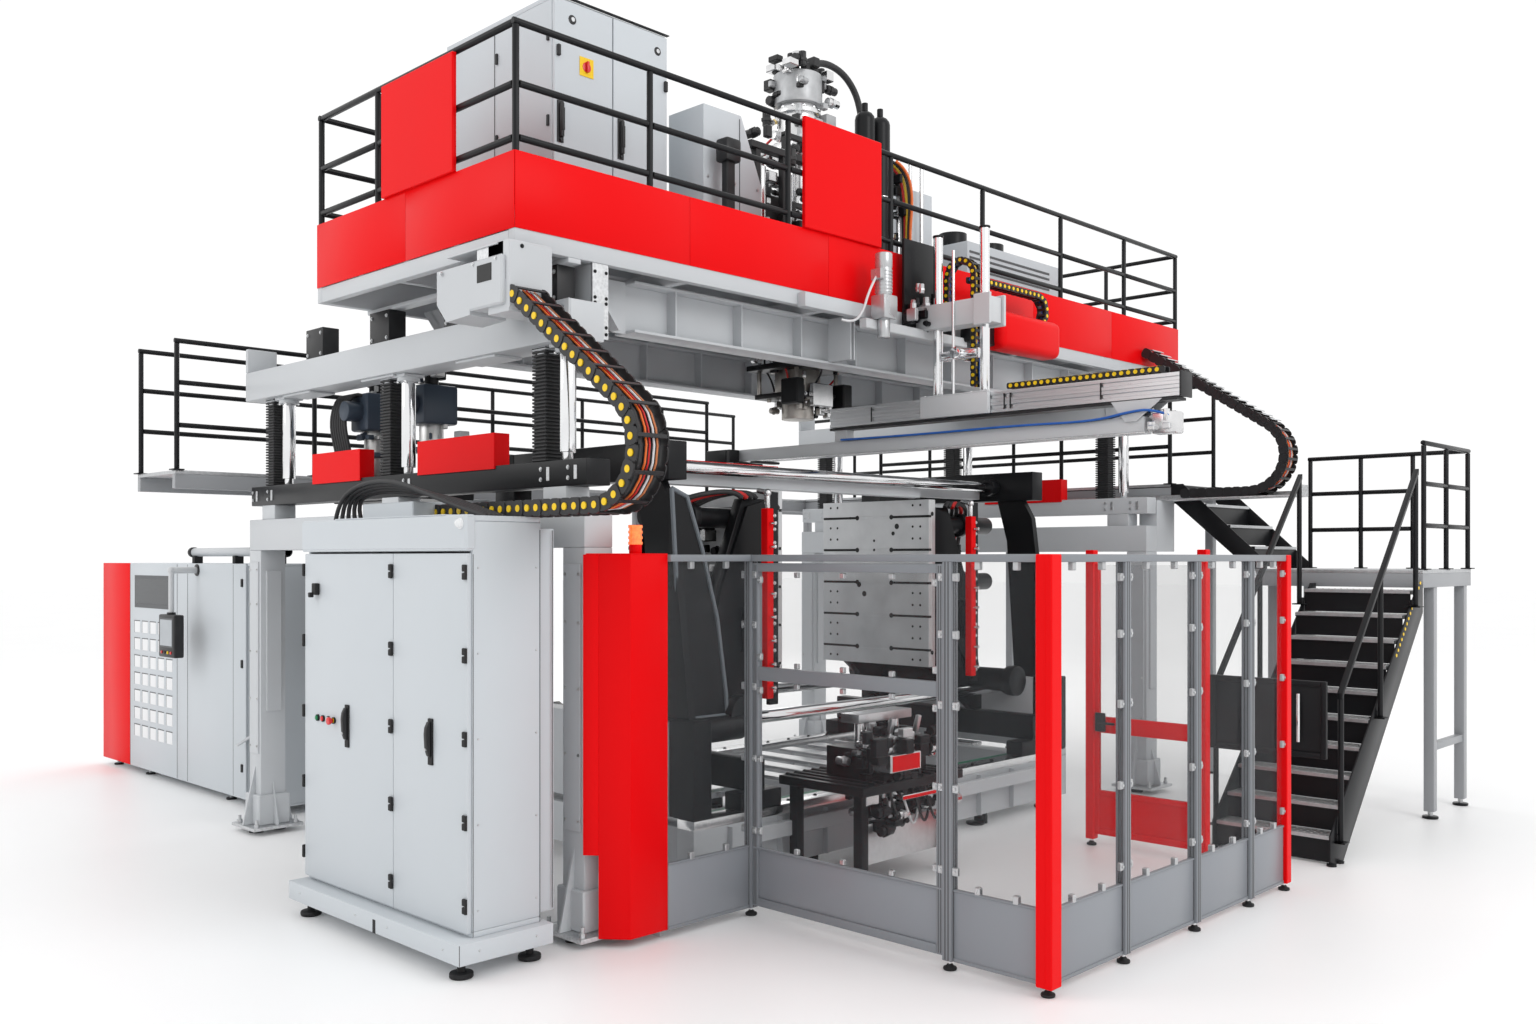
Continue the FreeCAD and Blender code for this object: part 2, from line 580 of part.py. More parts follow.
def platen(side):
    """Platen plate with open slots across its face and clamp bolt holes, as a body of its own."""
    body = DOC.addObject("PartDesign::Body", "platen")
    plane = next(item for item in body.Origin.OriginFeatures if item.Role == "YZ_Plane")
    outline = body.newObject("Sketcher::SketchObject", "outline")
    outline.AttachmentSupport = [(plane, "")]
    outline.MapMode = "FlatFace"
    rectangle(outline, ("0", "0", "platen_wide", "platen_high - platen_low"))
    pad = body.newObject("PartDesign::Pad", "plate")
    pad.Profile = outline
    bind(pad, "Length", "platen_t")
    DOC.recompute()
    front = next(item for item in body.Origin.OriginFeatures if item.Role == "XZ_Plane")
    slots = body.newObject("Sketcher::SketchObject", "slots")
    slots.AttachmentSupport = [(front, "")]
    slots.MapMode = "FlatFace"
    pitch = "(platen_high - platen_low) / slot_count"
    for place in range(int(value("slot_count"))):
        middle = f"({place} + 0.5) * {pitch}"
        rectangle(slots, ("platen_t - slot_deep", f"{middle} - slot_w / 2", "platen_t",
                          f"{middle} + slot_w / 2"))
    groove = body.newObject("PartDesign::Pocket", "slot_cut")
    groove.Profile = slots
    groove.Type = "ThroughAll"
    groove.Midplane = True
    body.Tip = groove
    DOC.recompute()
    face = f"clamp_x + {side} * platen_gap / 2"
    if side < 0:
        bind(body, ".Placement.Base.x", f"{face} - platen_t")
        bind(body, ".Placement.Base.y", "clamp_y - platen_wide / 2")
    else:
        body.Placement.Rotation = FreeCAD.Rotation(FreeCAD.Vector(0, 0, 1), 180)
        bind(body, ".Placement.Base.x", f"{face} + platen_t")
        bind(body, ".Placement.Base.y", "clamp_y + platen_wide / 2")
    bind(body, ".Placement.Base.z", "platen_low")
    return body


def rectangle(sketch, corners):
    """Add one rectangle, from a low to a high corner, whose four places are bound to the sheet."""
    a, b, c, d = (value(text) for text in corners)
    ends = [FreeCAD.Vector(a, b), FreeCAD.Vector(c, b), FreeCAD.Vector(c, d), FreeCAD.Vector(a, d)]
    first = len(sketch.Geometry)
    for place in range(4):
        sketch.addGeometry(Part.LineSegment(ends[place], ends[(place + 1) % 4]))
    for place in range(4):
        sketch.addConstraint(Sketcher.Constraint("Coincident", first + place, 2, first + (place + 1) % 4, 1))
    for place, kind in enumerate(("Horizontal", "Vertical", "Horizontal", "Vertical")):
        sketch.addConstraint(Sketcher.Constraint(kind, first + place))
    for kind, corner, text in (("DistanceX", 0, corners[0]), ("DistanceY", 0, corners[1]),
                               ("DistanceX", 2, corners[2]), ("DistanceY", 2, corners[3])):
        number = value(text)
        if abs(number) < 1e-6:
            target = -2 if kind == "DistanceX" else -1
            sketch.addConstraint(Sketcher.Constraint("PointOnObject", first + corner, 1, target))
            continue
        index = sketch.addConstraint(Sketcher.Constraint(kind, -1, 1, first + corner, 1, number))
        sketch.setExpression(f"Constraints[{index}]", formula(text))


def clamp():
    for side, word in ((-1, "left"), (1, "right")):
        plate = platen(side)
        node(f"platen_{word}", [plate])
        back = f"(clamp_x + {side} * (platen_gap / 2 + platen_t))"
        solids = []

        def band(near, far):
            """Low and high X formulas of a stretch behind the platen."""
            first, second = f"{back} + {side} * ({near})", f"{back} + {side} * ({far})"
            return (first, second) if side > 0 else (second, first)

        # backing frame: two tapered arms, three cross ribs and the shoes on the base rails
        for y in (after("clamp_y - platen_wide / 2 + 60", 90),
                  ("clamp_y + platen_wide / 2 - 150", "clamp_y + platen_wide / 2 - 60")):
            arm = [(back, "platen_low + 60"), (f"{back} + {side} * 640", f"{BASE_TOP} + 330"),
                   (f"{back} + {side} * 760", f"{BASE_TOP} + 330"),
                   (f"{back} + {side} * 760", f"{BASE_TOP} + 520"),
                   (f"{back} + {side} * 520", "platen_low + 700"),
                   (f"{back} + {side} * 260", "platen_high - 60"),
                   (back, "platen_high - 60")]
            solids.append(prism("y", y[0], y[1], arm))
        inner = ("clamp_y - platen_wide / 2 + 150", "clamp_y + platen_wide / 2 - 150")
        for z in ("platen_low + 120", "platen_low + 660", "platen_high - 220"):
            solids.append(block(band(0, 110), inner, after(z, 110)))
        solids.append(block(band(640, 760), ("base_front + gap", "base_back - gap"),
                            (f"{BASE_TOP} + 120", f"{BASE_TOP} + 330")))
        for y in (after("base_front + gap", "base_rail_w - 2 * gap"),
                  ("base_back - base_rail_w + gap", "base_back - gap")):
            solids.append(block(band(480, 860), y, (f"{BASE_TOP} + gap", f"{BASE_TOP} + 120")))
        # water manifold: an upright pipe with its nipples, on a bracket in front of the backing frame
        pipe_x = f"{back} + {side} * 250"
        pipe_y = "clamp_y - platen_wide / 2 - 180"
        solids.append(rod("z", (pipe_x, pipe_y, "platen_low - 80"), "platen_high - platen_low - 60", 28))
        for step in range(8):
            solids.append(rod("y", (pipe_x, f"{pipe_y} - 82", f"platen_low + {step} * 165"), 54, 13))
        solids.append(block(band(200, 300), (f"{pipe_y} + 28", "clamp_y - platen_wide / 2 + 60"),
                            ("platen_low + 240", "platen_low + 560")))
        node(f"clamp_arms_{word}", solids)


def takeout_line():
    """Deflashing station and outlet belt that stand between the base and the fence."""
    front = "base_front - station_reach"
    right = "station_x + station_len"
    solids = []
    for x in ("station_x + 80", f"{right} - 80"):
        for way in (90, 650):
            solids.append(rod("z", (x, f"{front} + {way}", "0"), 70, 32))
            solids.append(block(span(x, 70), span(f"{front} + {way}", 70), ("70", "bench_low")))
    solids.append(block(("station_x", right), after(front, "station_deep"), ("bench_low", "bench_high")))
    solids.append(block(("station_x + 220", f"{right} - 220"), after(f"{front} + 150", 360),
                        ("bench_high", "case_high")))
    solids.append(block(("station_x + 115", f"{right} - 115"), after(f"{front} + 86", 8),
                        ("180", "bench_low - 200")))
    middle = "(station_x + station_len / 2)"
    for side in SIDES:
        solids.append(rod("z", (f"{middle} + {side} * 180", f"{front} + 330", "case_high"),
                          "press_low - case_high", 34))
    solids.append(block(span(middle, 560), after(f"{front} + 250", 160), ("press_low", "press_high")))
    node("takeout_line", solids)


# ---------------------------------------------------------------- transfer robot

def robot():
    wall = "plat_front - fascia_t - 70 - gap"
    plate = block(span("robot_x", 420), (f"{wall} - 25", wall), ("plat_low - 60", "plat_low + 620"))
    motor = [block(span("robot_x + 300", 150), (f"{wall} - 175", f"{wall} - 25"),
                   ("plat_low - 40", "plat_low + 160")),
             rod("z", ("robot_x + 300", f"{wall} - 100", "plat_low + 160"), 330, 55),
             block(("robot_x + 210", "robot_x + 375"), (f"{wall} - 25", wall),
                   ("plat_low - 40", "plat_low + 160"))]
    # guide bushes that the two upright rods slide through, on one beam
    beam = block(span("robot_x", 150), ("rod_front_y - 90", f"{wall} - 25"),
                 ("plat_low - 50", "plat_low + 130"))
    bores = [rod("z", ("robot_x", y, "plat_low - 51"), 182, "rod_r + gap") for y in ("rod_front_y",
                                                                                     "rod_back_y")]
    node("robot_carriage", [plate, cut(beam, bores)] + motor)
    head = [rod("z", ("robot_x", y, "rod_low"), "rod_high - rod_low", "rod_r") for y in ("rod_front_y",
                                                                                         "rod_back_y")]
    head.append(block(span("robot_x", 130), ("rod_front_y - 60", "rod_back_y + 60"),
                      ("rod_high", "rod_high + 40")))
    # the saddle that the arm slides in: a roof and two cheeks
    roof = ("arm_low + arm_rise + gap", "rod_low")
    head.append(block(span("robot_x", "arm_w + 80"), ("rod_front_y - 90", "rod_back_y + 90"), roof))
    for side in SIDES:
        cheek = f"robot_x + {side} * (arm_w / 2 + gap + 20)"
        head.append(block(span(cheek, 39), ("rod_front_y - 90", "rod_back_y + 90"), ("arm_low", roof[0])))
    node("robot_column", head)
    arm = [block(span("robot_x", "arm_w"), ("arm_near", "arm_far"), ("arm_low", "arm_low + arm_rise"))]
    low, high = "grip_low", "grip_low + grip_rise"
    arm.append(block(span("robot_x", 100), ("grip_near", "grip_far - 40"), (low, high)))
    arm.append(block(span("robot_x", "2 * jaw_open + 20"), ("grip_far - 40", "grip_far"), (low, high)))
    for y in ("grip_near + 60", "arm_far - 160"):
        arm.append(block(span("robot_x", 90), after(y, 120), (high, "arm_low")))
    arm.append(block(span("robot_x", 150), ("arm_near - 14", "arm_near"),
                     ("arm_low - 6", "arm_low + arm_rise + 6")))
    node("robot_arm", arm)
    for side, word in ((-1, "left"), (1, "right")):
        finger = span(f"robot_x + {side} * jaw_open", 30)
        inner, outer = f"robot_x + {side} * 70", f"robot_x + {side} * (jaw_open - 15)"
        foot = (inner, outer) if side > 0 else (outer, inner)
        jaw = [block(finger, ("grip_far + gap", "grip_far + 240"), (low, high)),
               block(foot, ("grip_far + gap", "grip_far + 40"), (low, high))]
        node(f"gripper_jaw_{word}", jaw)


# ---------------------------------------------------------------- control cabinet

DOORS = (("left", "door_seam + door_slit / 2", "cab_y + cab_wide - 8"),
         ("right", "cab_y + 8", "door_seam - door_slit / 2"))


def control_cabinet():
    x = ("cab_x + door_t + gap", "cab_x + cab_deep")
    y = after("cab_y", "cab_wide")
    solids = box_shell(x, y, ("cab_low", "cab_high"), "skin", "-x")
    # header strip over the doors, sill under them and the plinth on its feet
    inner = ("cab_y + skin", "cab_y + cab_wide - skin")
    solids.append(block(after(x[0], "skin"), inner, ("door_high + 8", "cab_high - skin")))
    solids.append(block(("cab_x - header_out", x[0]), y, ("door_high + 12", "cab_high")))
    solids.append(block((x[1], f"{x[1]} + 130"), ("cab_y + 60", "cab_y + cab_wide - 60"),
                        ("cab_low + 30", "cab_high - 60")))
    solids.append(block(("cab_x - plinth_out", f"{x[1]} + 40"),
                        ("cab_y - plinth_side", "cab_y + cab_wide + 20"),
                        ("plinth_low", "cab_low")))
    for a in ("cab_x", "cab_x + cab_deep - 70"):
        for b in ("cab_y + 60", "cab_y + cab_wide - 70"):
            solids.append(rod("z", (a, b, "0"), "plinth_low", 36))
    node("cabinet_housing", solids)
    board = ("cab_x + cab_deep - skin - 34", "cab_x + cab_deep - skin")
    devices = [block(board, ("cab_y + 120", "cab_y + cab_wide - 120"), ("cab_low + 160", "cab_high - 180"))]
    for row in range(5):
        for place in range(6):
            y0 = f"cab_y + 170 + {place} * (cab_wide - 320) / 6"
            z0 = f"cab_low + 220 + {row} * 360"
            devices.append(block(("cab_x + cab_deep - skin - 164", board[0]), after(y0, 170), after(z0, 190)))
    node("cabinet_devices", devices)
    for word, low, high in DOORS:
        leaf = block(("cab_x", "cab_x + door_t"), (low, high), ("door_low", "door_high"))
        solids = [leaf]
        for place in range(5):
            z = f"door_low + 120 + {place} * (door_high - door_low - 240) / 4"
            solids.append(block(("cab_x - 14", "cab_x"), after(f"{low} + 2", 26), span(z, 56)))
        solids.append(block(("cab_x - 10", "cab_x"), span(f"handle_{word}", "handle_w + 14"),
                            ("handle_top - handle_len - 45", "handle_top + 20")))
        if word == "left":
            # collars that the push buttons slide in
            for step in range(4):
                bore = "button_r" if step else "button_r - 2"
                solids.append(tube("x", ("cab_x - 10", f"button_y + {step} * button_pitch", "button_z"), 10,
                                   "button_r + 4", f"{bore} + gap"))
        node(f"cabinet_door_{word}", solids)
        # swing lever that lifts away from its dish about the pin at its top
        node(f"door_handle_{word}", [block(("cab_x - 40", "cab_x - 10 - gap"),
                                           span(f"handle_{word}", "handle_w"),
                                           ("handle_top - handle_len", "handle_top"))])
    places = (("start_button", 3), ("stop_button", 2), ("reset_button", 1))
    for word, step in places:
        y = f"button_y + {step} * button_pitch"
        node(word, [rod("x", ("cab_x - 16", y, "button_z"), "16 - gap - 5", "button_r")])
    node("emergency_stop", [rod("x", ("cab_x - 20", "button_y", "button_z"), "20 - gap - 8", "button_r - 2"),
                            rod("x", ("cab_x - 44", "button_y", "button_z"), 24, "button_r + 8")])


# ---------------------------------------------------------------- handling unit, screen and lamps

def handling_unit():
    x = after("unit_x", "unit_deep")
    z = ("unit_low", "unit_high")
    solids = []
    wall = 20
    bays = (("unit_front", "unit_front + 450"), ("unit_chute", "unit_grid"), ("unit_grid", "unit_red"),
            ("unit_red", "unit_end"))
    for low, high in bays:
        solids.append(block(after(x[0], wall), (low, f"{high} - 4"), z))
    solids.append(block((f"{x[1]} - {wall}", x[1]), ("unit_front", "unit_end"), z))
    solids.append(block((f"{x[0]} + {wall}", f"{x[1]} - {wall}"), ("unit_front", "unit_end"),
                        (f"{z[1]} - {wall}", z[1])))
    solids.append(block((f"{x[0]} + {wall}", f"{x[1]} - {wall}"), ("unit_front", "unit_end"),
                        after(z[0], wall)))
    room = (f"{z[0]} + {wall}", f"{z[1]} - {wall}")
    for low in ("unit_front", "unit_front + 430", "unit_chute", f"unit_end - {wall}"):
        solids.append(block((f"{x[0]} + {wall}", f"{x[1]} - {wall}"), after(low, wall), room))
    for y in ("unit_front + 150", "unit_chute + 500", "unit_grid + 900", "unit_end - 200"):
        for far in (90, 810):
            solids.append(rod("z", (f"unit_x + {far}", y, "0"), "unit_low", 40))
    # sloping chute in the tall recess
    solids.append(prism("y", "unit_front + 470", "unit_chute - 20", [
        (f"unit_x + {wall} - 120", "560"), (f"unit_x + {wall} - 120", "545"), (f"{x[1]} - {wall}", "1080"),
        (f"{x[1]} - {wall}", "1095")]))
    node("handling_unit", solids)
    arm_x = "unit_x - 230"
    node("screen_arm", [
        block(("unit_x - 260", "unit_x"), span("screen_y", 60), ("2010", "2070")),
        rod("z", (arm_x, "screen_y", "1660"), 350, 24)])
    node("screen_panel", [
        block(span(arm_x, 90), span("screen_y", 360), ("1255", "1640")),
        rod("z", (arm_x, "screen_y", "1640"), "20 - gap", 40)])


def lamps():
    node("signal_lamps", [
        rod("x", ("cab_x - header_out - 34", "cab_y + 45", "cab_high - 42"), 34, 28),
        rod("z", ("fence_left - 790", "bay_end + 70", "fence_top + 6"), 50, 30),
        rod("z", ("fence_left - 790", "bay_end + 70", "fence_top + 56"), 110, 42)])


# ---------------------------------------------------------------- guards

# places of the front posts, as shares of the fence's length
POST_SHARES = (0, 0.262, 0.553, 0.809, 1)


def fence():
    frame = []
    panes = []
    y = "fence_front"
    lows = [f"fence_left + {share} * (fence_right - fence_left - post_w)" for share in POST_SHARES]
    for low in lows:
        frame.append(block(after(low, "post_w"), after(y, "post_w"), ("kick_low", "fence_top - 40")))
        frame.append(rod("z", (f"{low} + post_w / 2", f"{y} + post_w / 2", "0"), "kick_low", 26))
    frame.append(block(("fence_left", "fence_right"), after(y, "post_w"), ("fence_top - 40", "fence_top")))
    for low, high in zip(lows, lows[1:]):
        run = (f"{low} + post_w", high)
        frame.append(block(run, after(f"{y} + 20", 20), ("kick_low", "kick_high")))
        panes.append(block(run, after(f"{y} + 26", "pane_t"), ("kick_high", "fence_top - 40")))
    # run from the corner post back to the door bay
    x = after("fence_left", "post_w")
    frame.append(block(x, after("door_bay - post_w", "post_w"), ("kick_low", "fence_top - 40")))
    frame.append(rod("z", ("fence_left + post_w / 2", "door_bay - post_w / 2", "0"), "kick_low", 26))
    frame.append(block(x, ("fence_front + post_w", "bay_end"), ("fence_top - 40", "fence_top")))
    side = ("fence_front + post_w", "door_bay - post_w")
    frame.append(block(after("fence_left + 20", 20), side, ("kick_low", "kick_high")))
    panes.append(block(after("fence_left + 26", "pane_t"), side, ("kick_high", "fence_top - 40")))
    frame.append(block(x, ("bay_end - post_w", "bay_end"), ("kick_low", "fence_top - 40")))
    frame.append(rod("z", ("fence_left + post_w / 2", "bay_end - post_w / 2", "0"), "kick_low", 26))
    # short run back to the column cover
    short = ("fence_left - 640", "fence_left")
    frame.append(block(short, ("bay_end - post_w", "bay_end"), ("fence_top - 40", "fence_top")))
    frame.append(block(short, ("bay_end - 40", "bay_end - 20"), ("kick_low", "kick_high")))
    panes.append(block(short, ("bay_end - 34", "bay_end - 34 + pane_t"), ("kick_high", "fence_top - 40")))
    # inner posts by the red gate
    for far in (690, 1570):
        frame.append(block(after("fence_right + 240", "post_w"), after(f"fence_front + {far}", "post_w"),
                           ("kick_low", "fence_top")))
        frame.append(rod("z", ("fence_right + 240 + post_w / 2", f"fence_front + {far} + post_w / 2", "0"),
                         "kick_low", 26))
    node("fence_frame", frame)
    node("fence_panes", panes)
    # hinged door in the long bay: frame of four bars and a mid rail
    wing = after("fence_left + 10", 40)
    run = ("door_bay + gap", "bay_end - post_w - gap")
    inner = (f"{run[0]} + 45", f"{run[1]} - 45")
    solids = [block(wing, (run[0], inner[0]), ("kick_low + 20", "fence_top - 50")),
              block(wing, (inner[1], run[1]), ("kick_low + 20", "fence_top - 50"))]
    for z in (("kick_low + 20", "kick_low + 70"), ("1420", "1500"), ("fence_top - 100", "fence_top - 50")):
        solids.append(block(wing, inner, z))
    solids.append(block(after("fence_left + 20", 20), inner, ("kick_low + 70", "kick_high")))
    glass = after("fence_left + 26", "pane_t")
    solids.append(block(glass, inner, ("kick_high", "1420")))
    solids.append(block(glass, inner, ("1500", "fence_top - 100")))
    node("fence_door", solids)
    wing = after("fence_right + 250", 40)
    run = ("fence_front + 690 + post_w + gap", "fence_front + 1570 - gap")
    inner = (f"{run[0]} + 40", f"{run[1]} - 40")
    solids = [block(wing, (run[0], inner[0]), ("90", "fence_top - 60")),
              block(wing, (inner[1], run[1]), ("90", "fence_top - 60"))]
    for z in (("90", "140"), ("380", "420"), ("850", "970")):
        solids.append(block(wing, inner, z))
    solids.append(block(after("fence_right + 262", 12), inner, ("140", "380")))
    node("access_gate", solids)
    # folded cover in front of the near column, with its lid
    folded = ("kick_low", "fence_top")
    x, y = "fence_left - 640", "bay_end"
    covers = [
        prism("z", "510", "fence_top", [(f"{x} - 440", f"{y} + 172"), (f"{x} - 385", f"{y} + 104"),
                                        (f"{x} - 380", f"{y} + 107"), (f"{x} - 434", f"{y} + 174")]),
        prism("z", *folded, [(f"{x} - 385", f"{y} + 104"), (f"{x} - 270", f"{y} - 34"),
                             (f"{x} - 267", f"{y} - 28"), (f"{x} - 380", f"{y} + 107")]),
        prism("z", *folded, [(f"{x} - 270", f"{y} - 34"), (x, f"{y} - 34"), (x, f"{y} - 28"),
                             (f"{x} - 267", f"{y} - 28")]),
        prism("z", "fence_top", "fence_top + 6", [(f"{x} - 385", f"{y} + 104"), (f"{x} - 270", f"{y} - 34"),
                                                  (x, f"{y} - 34"), (x, f"{y} + 160"),
                                                  (f"{x} - 430", f"{y} + 160")]),
        block((f"{x} - 12", x), (f"{y} + 20", f"{y} + 160"), ("0", "fence_top")),
    ]
    node("column_covers", covers)


# ---------------------------------------------------------------- stairs and walkway

def stairs():
    solids = []
    rails = []
    last = "tread_count - 1"
    near, far = "stair_y", "stair_y + stair_wide"
    top_x = "(stair_x + tread_count * going)"
    top_z = "(tread_count * riser)"
    for y in (after(near, 12), (f"{far} - 12", far)):
        solids.append(prism("y", *y, [
            ("stair_x - 40", "0"), ("stair_x + 200", "0"), ("landing_x", f"{top_z} - 170"),
            ("landing_x", f"{top_z} + 60"), (f"{top_x} - 30", f"{top_z} + 60"),
            ("stair_x - 40", "riser + 20")]))
    for place in range(int(value("tread_count"))):
        x = f"stair_x + {place} * going"
        z = f"{place + 1} * riser + 10"
        solids.append(block((x, f"{x} + going + 40"), (f"{near} + 12", f"{far} - 12"), (f"{z} - 30", z)))
    # landing deck, its edge beams and legs
    land_x = ("landing_x", "landing_x + landing_len")
    land_y = (near, f"{near} + landing_wide")
    deck = ("landing_top - 30", "landing_top")
    solids.append(block(land_x, land_y, deck))
    edge = ("landing_top - edge_rise", "landing_top - 30")
    solids.append(block(land_x, after(near, 60), edge))
    solids.append(block(land_x, (f"{land_y[1]} - 60", land_y[1]), edge))
    inner = (f"{near} + 60", f"{land_y[1]} - 60")
    solids.append(block(after(land_x[0], 60), inner, edge))
    solids.append(block((f"{land_x[1]} - 60", land_x[1]), inner, edge))
    for x in ("landing_x + 300", "landing_x + landing_len - 160"):
        for y in (f"{near} + 10", f"{land_y[1]} - 90"):
            solids.append(block(after(x, 80), after(y, 80), ("60", "landing_top - edge_rise")))
            solids.append(rod("z", (f"{x} + 40", f"{y} + 40", "0"), 60, 48))
    solids.append(block(("landing_x + 380", "landing_x + landing_len - 160"),
                        (f"{near} + 20", f"{near} + 80"), after("560", 60)))
    # second flight, climbing along +Y to the side walkway, which leads to the rear one
    steps = 4
    rise = f"(walk_top - landing_top) / {steps}"
    high_x = ("landing_x + 300", "landing_x + landing_len")
    flight = f"({land_y[1]} + {steps} * flight_going)"
    for side_x in (after(high_x[0], 12), (f"{high_x[1]} - 12", high_x[1])):
        solids.append(prism("x", side_x[0], side_x[1], [
            (land_y[1], "landing_top - edge_rise"), (flight, "walk_top - edge_rise"), (flight, "walk_top"),
            (f"{flight} - 120", "walk_top"), (land_y[1], "landing_top + 60")]))
    for place in range(1, steps):
        y = f"{land_y[1]} + ({place} - 0.5) * flight_going"
        z = f"landing_top + {place} * {rise}"
        solids.append(block((f"{high_x[0]} + 12", f"{high_x[1]} - 12"), after(y, "flight_going"),
                            (f"{z} - 30", z)))
    walk_y = after("walk_front", "walk_wide")
    walk_x = ("portal_left - 500", high_x[1])
    solids.append(block(high_x, (flight, "walk_front"), ("walk_top - 30", "walk_top")))
    for x in (after(high_x[0], 60), (f"{high_x[1]} - 60", high_x[1])):
        solids.append(block(x, (flight, "walk_front"), ("walk_top - edge_rise", "walk_top - 30")))
    solids.append(block(walk_x, walk_y, ("walk_top - 30", "walk_top")))
    for y in (after("walk_front", 60), (f"{walk_y[1]} - 60", walk_y[1])):
        solids.append(block(walk_x, y, ("walk_top - edge_rise", "walk_top - 30")))
    legs = [(x, "walk_front + 740") for x in ("portal_right + 1300", "portal_right - 1560",
                                              "portal_right - 3560")]
    legs += [("portal_right + 1370", y) for y in (f"{flight} + 40", f"{flight} + 2400")]
    for x, y in legs:
        solids.append(block(span(x, 80), span(y, 80), ("20", "walk_top - edge_rise")))
        solids.append(block(span(x, 200), span(y, 200), ("0", "20")))
    node("stairs", solids)

    def guard(axis, run, across, floor, posts, rise=1050):
        """Posts and three rails on a level floor; posts are low formulas along the run."""
        def piece(along, height):
            return block(along, across, height) if axis == "x" else block(across, along, height)
        for post in posts:
            rails.append(piece(after(post, 40), (floor, f"{floor} + {rise} - 40")))
        rails.append(piece(run, (f"{floor} + {rise} - 40", f"{floor} + {rise}")))
        for low, high in zip(posts, posts[1:]):
            for level in (360, 700):
                rails.append(piece((f"{low} + 40", high), span(f"{floor} + {level}", 40)))

    land_posts = ["landing_x + 60", "landing_x + landing_len / 2", "landing_x + landing_len - 40"]
    guard("x", (land_posts[0], land_x[1]), after(near, 40), "landing_top", land_posts)
    side = [f"{near} + 450", f"{near} + 900", f"{land_y[1]} - 40"]
    guard("y", (f"{near} + 40", land_y[1]), (f"{land_x[1]} - 40", land_x[1]), "landing_top", side)
    walk_side = [f"{flight} + {place} * (walk_front - {flight}) / 4" for place in range(5)]
    guard("y", (walk_side[0], f"{walk_side[-1]} + 40"), (f"{land_x[1]} - 40", land_x[1]), "walk_top",
          walk_side)
    guard("y", (walk_side[0], "walk_front"), after(high_x[0], 40), "walk_top", walk_side[:4], 950)
    walk_posts = [f"portal_left - 500 + {place} * 1150" for place in range(7)]
    guard("x", (walk_posts[0], f"{walk_posts[-1]} + 40"), (f"{walk_y[1]} - 40", walk_y[1]), "walk_top",
          walk_posts)
    front_posts = walk_posts[:6]
    guard("x", (front_posts[0], f"{front_posts[-1]} + 40"), after("walk_front", 40), "walk_top", front_posts)
    # sloping handrails of the first flight
    slope = "riser / going"
    top = "(riser + 910)"
    for y, stub in ((after(f"{near} - 46", 40), after(f"{near} - 6", 6)),
                    (after(f"{far} + 6", 40), after(far, 6))):
        for place in range(3):
            low, high = after(f"stair_x + 60 + {place} * 780", 40)
            foot = f"(riser - 100 + ({low} - stair_x) * {slope})"
            rails.append(prism("y", *y, [
                (low, foot), (high, foot), (high, f"{top} + ({high} - stair_x) * {slope}"),
                (low, f"{top} + ({low} - stair_x) * {slope}")]))
            rails.append(block((low, high), stub, (foot, f"{foot} + 60")))
        rails.append(prism("y", *y, [
            ("stair_x + 60", f"{top} + 60 * {slope}"), ("stair_x + 1660", f"{top} + 1660 * {slope}"),
            ("stair_x + 1660", f"{top} + 1660 * {slope} + 44"),
            ("stair_x + 60", f"{top} + 60 * {slope} + 44")]))
    # post that the stair gate hangs on
    rails.append(block(("stair_x - 100", "stair_x - 54"), (f"{far} + 6", f"{far} + 46"), ("0", "1320")))
    node("stair_railings", rails)
    # gate at the foot of the stairs: hoop of three bars with a bright pull
    gate_x = ("stair_x - 60 - 34", "stair_x - 60")
    solids = [block(gate_x, after(f"{near} + 10", 40), ("750", "1290")),
              block(gate_x, (f"{far} - 50", f"{far} + 6 - gap"), ("750", "1290")),
              block(gate_x, (f"{near} + 50", f"{far} - 50"), ("1250", "1290")),
              block(gate_x, (f"{near} + 50", f"{far} - 50"), ("750", "790")),
              block(("stair_x - 82", "stair_x - 76"), (f"{near} + 50", f"{far} - 50"), ("790", "1250"))]
    node("stair_gate", solids)


# ---------------------------------------------------------------- energy chains

def bend(side, start, stop):
    """Outline of a stretch of a chain's bend, square to X; the angle is 0 at the foremost point."""
    y, outer = value(f"{side}_bend_y"), value(f"{side}_bend_r")
    middle = value("cab_high" if side == "left" else "tray_top") + outer
    inner = outer - value("chain_rise")
    steps = 8
    points = []
    for radius, order in ((outer, range(steps + 1)), (inner, range(steps, -1, -1))):
        for step in order:
            turn = math.radians(start + (stop - start) * step / steps)
            points.append((y - radius * math.cos(turn), middle + radius * math.sin(turn)))
    return points


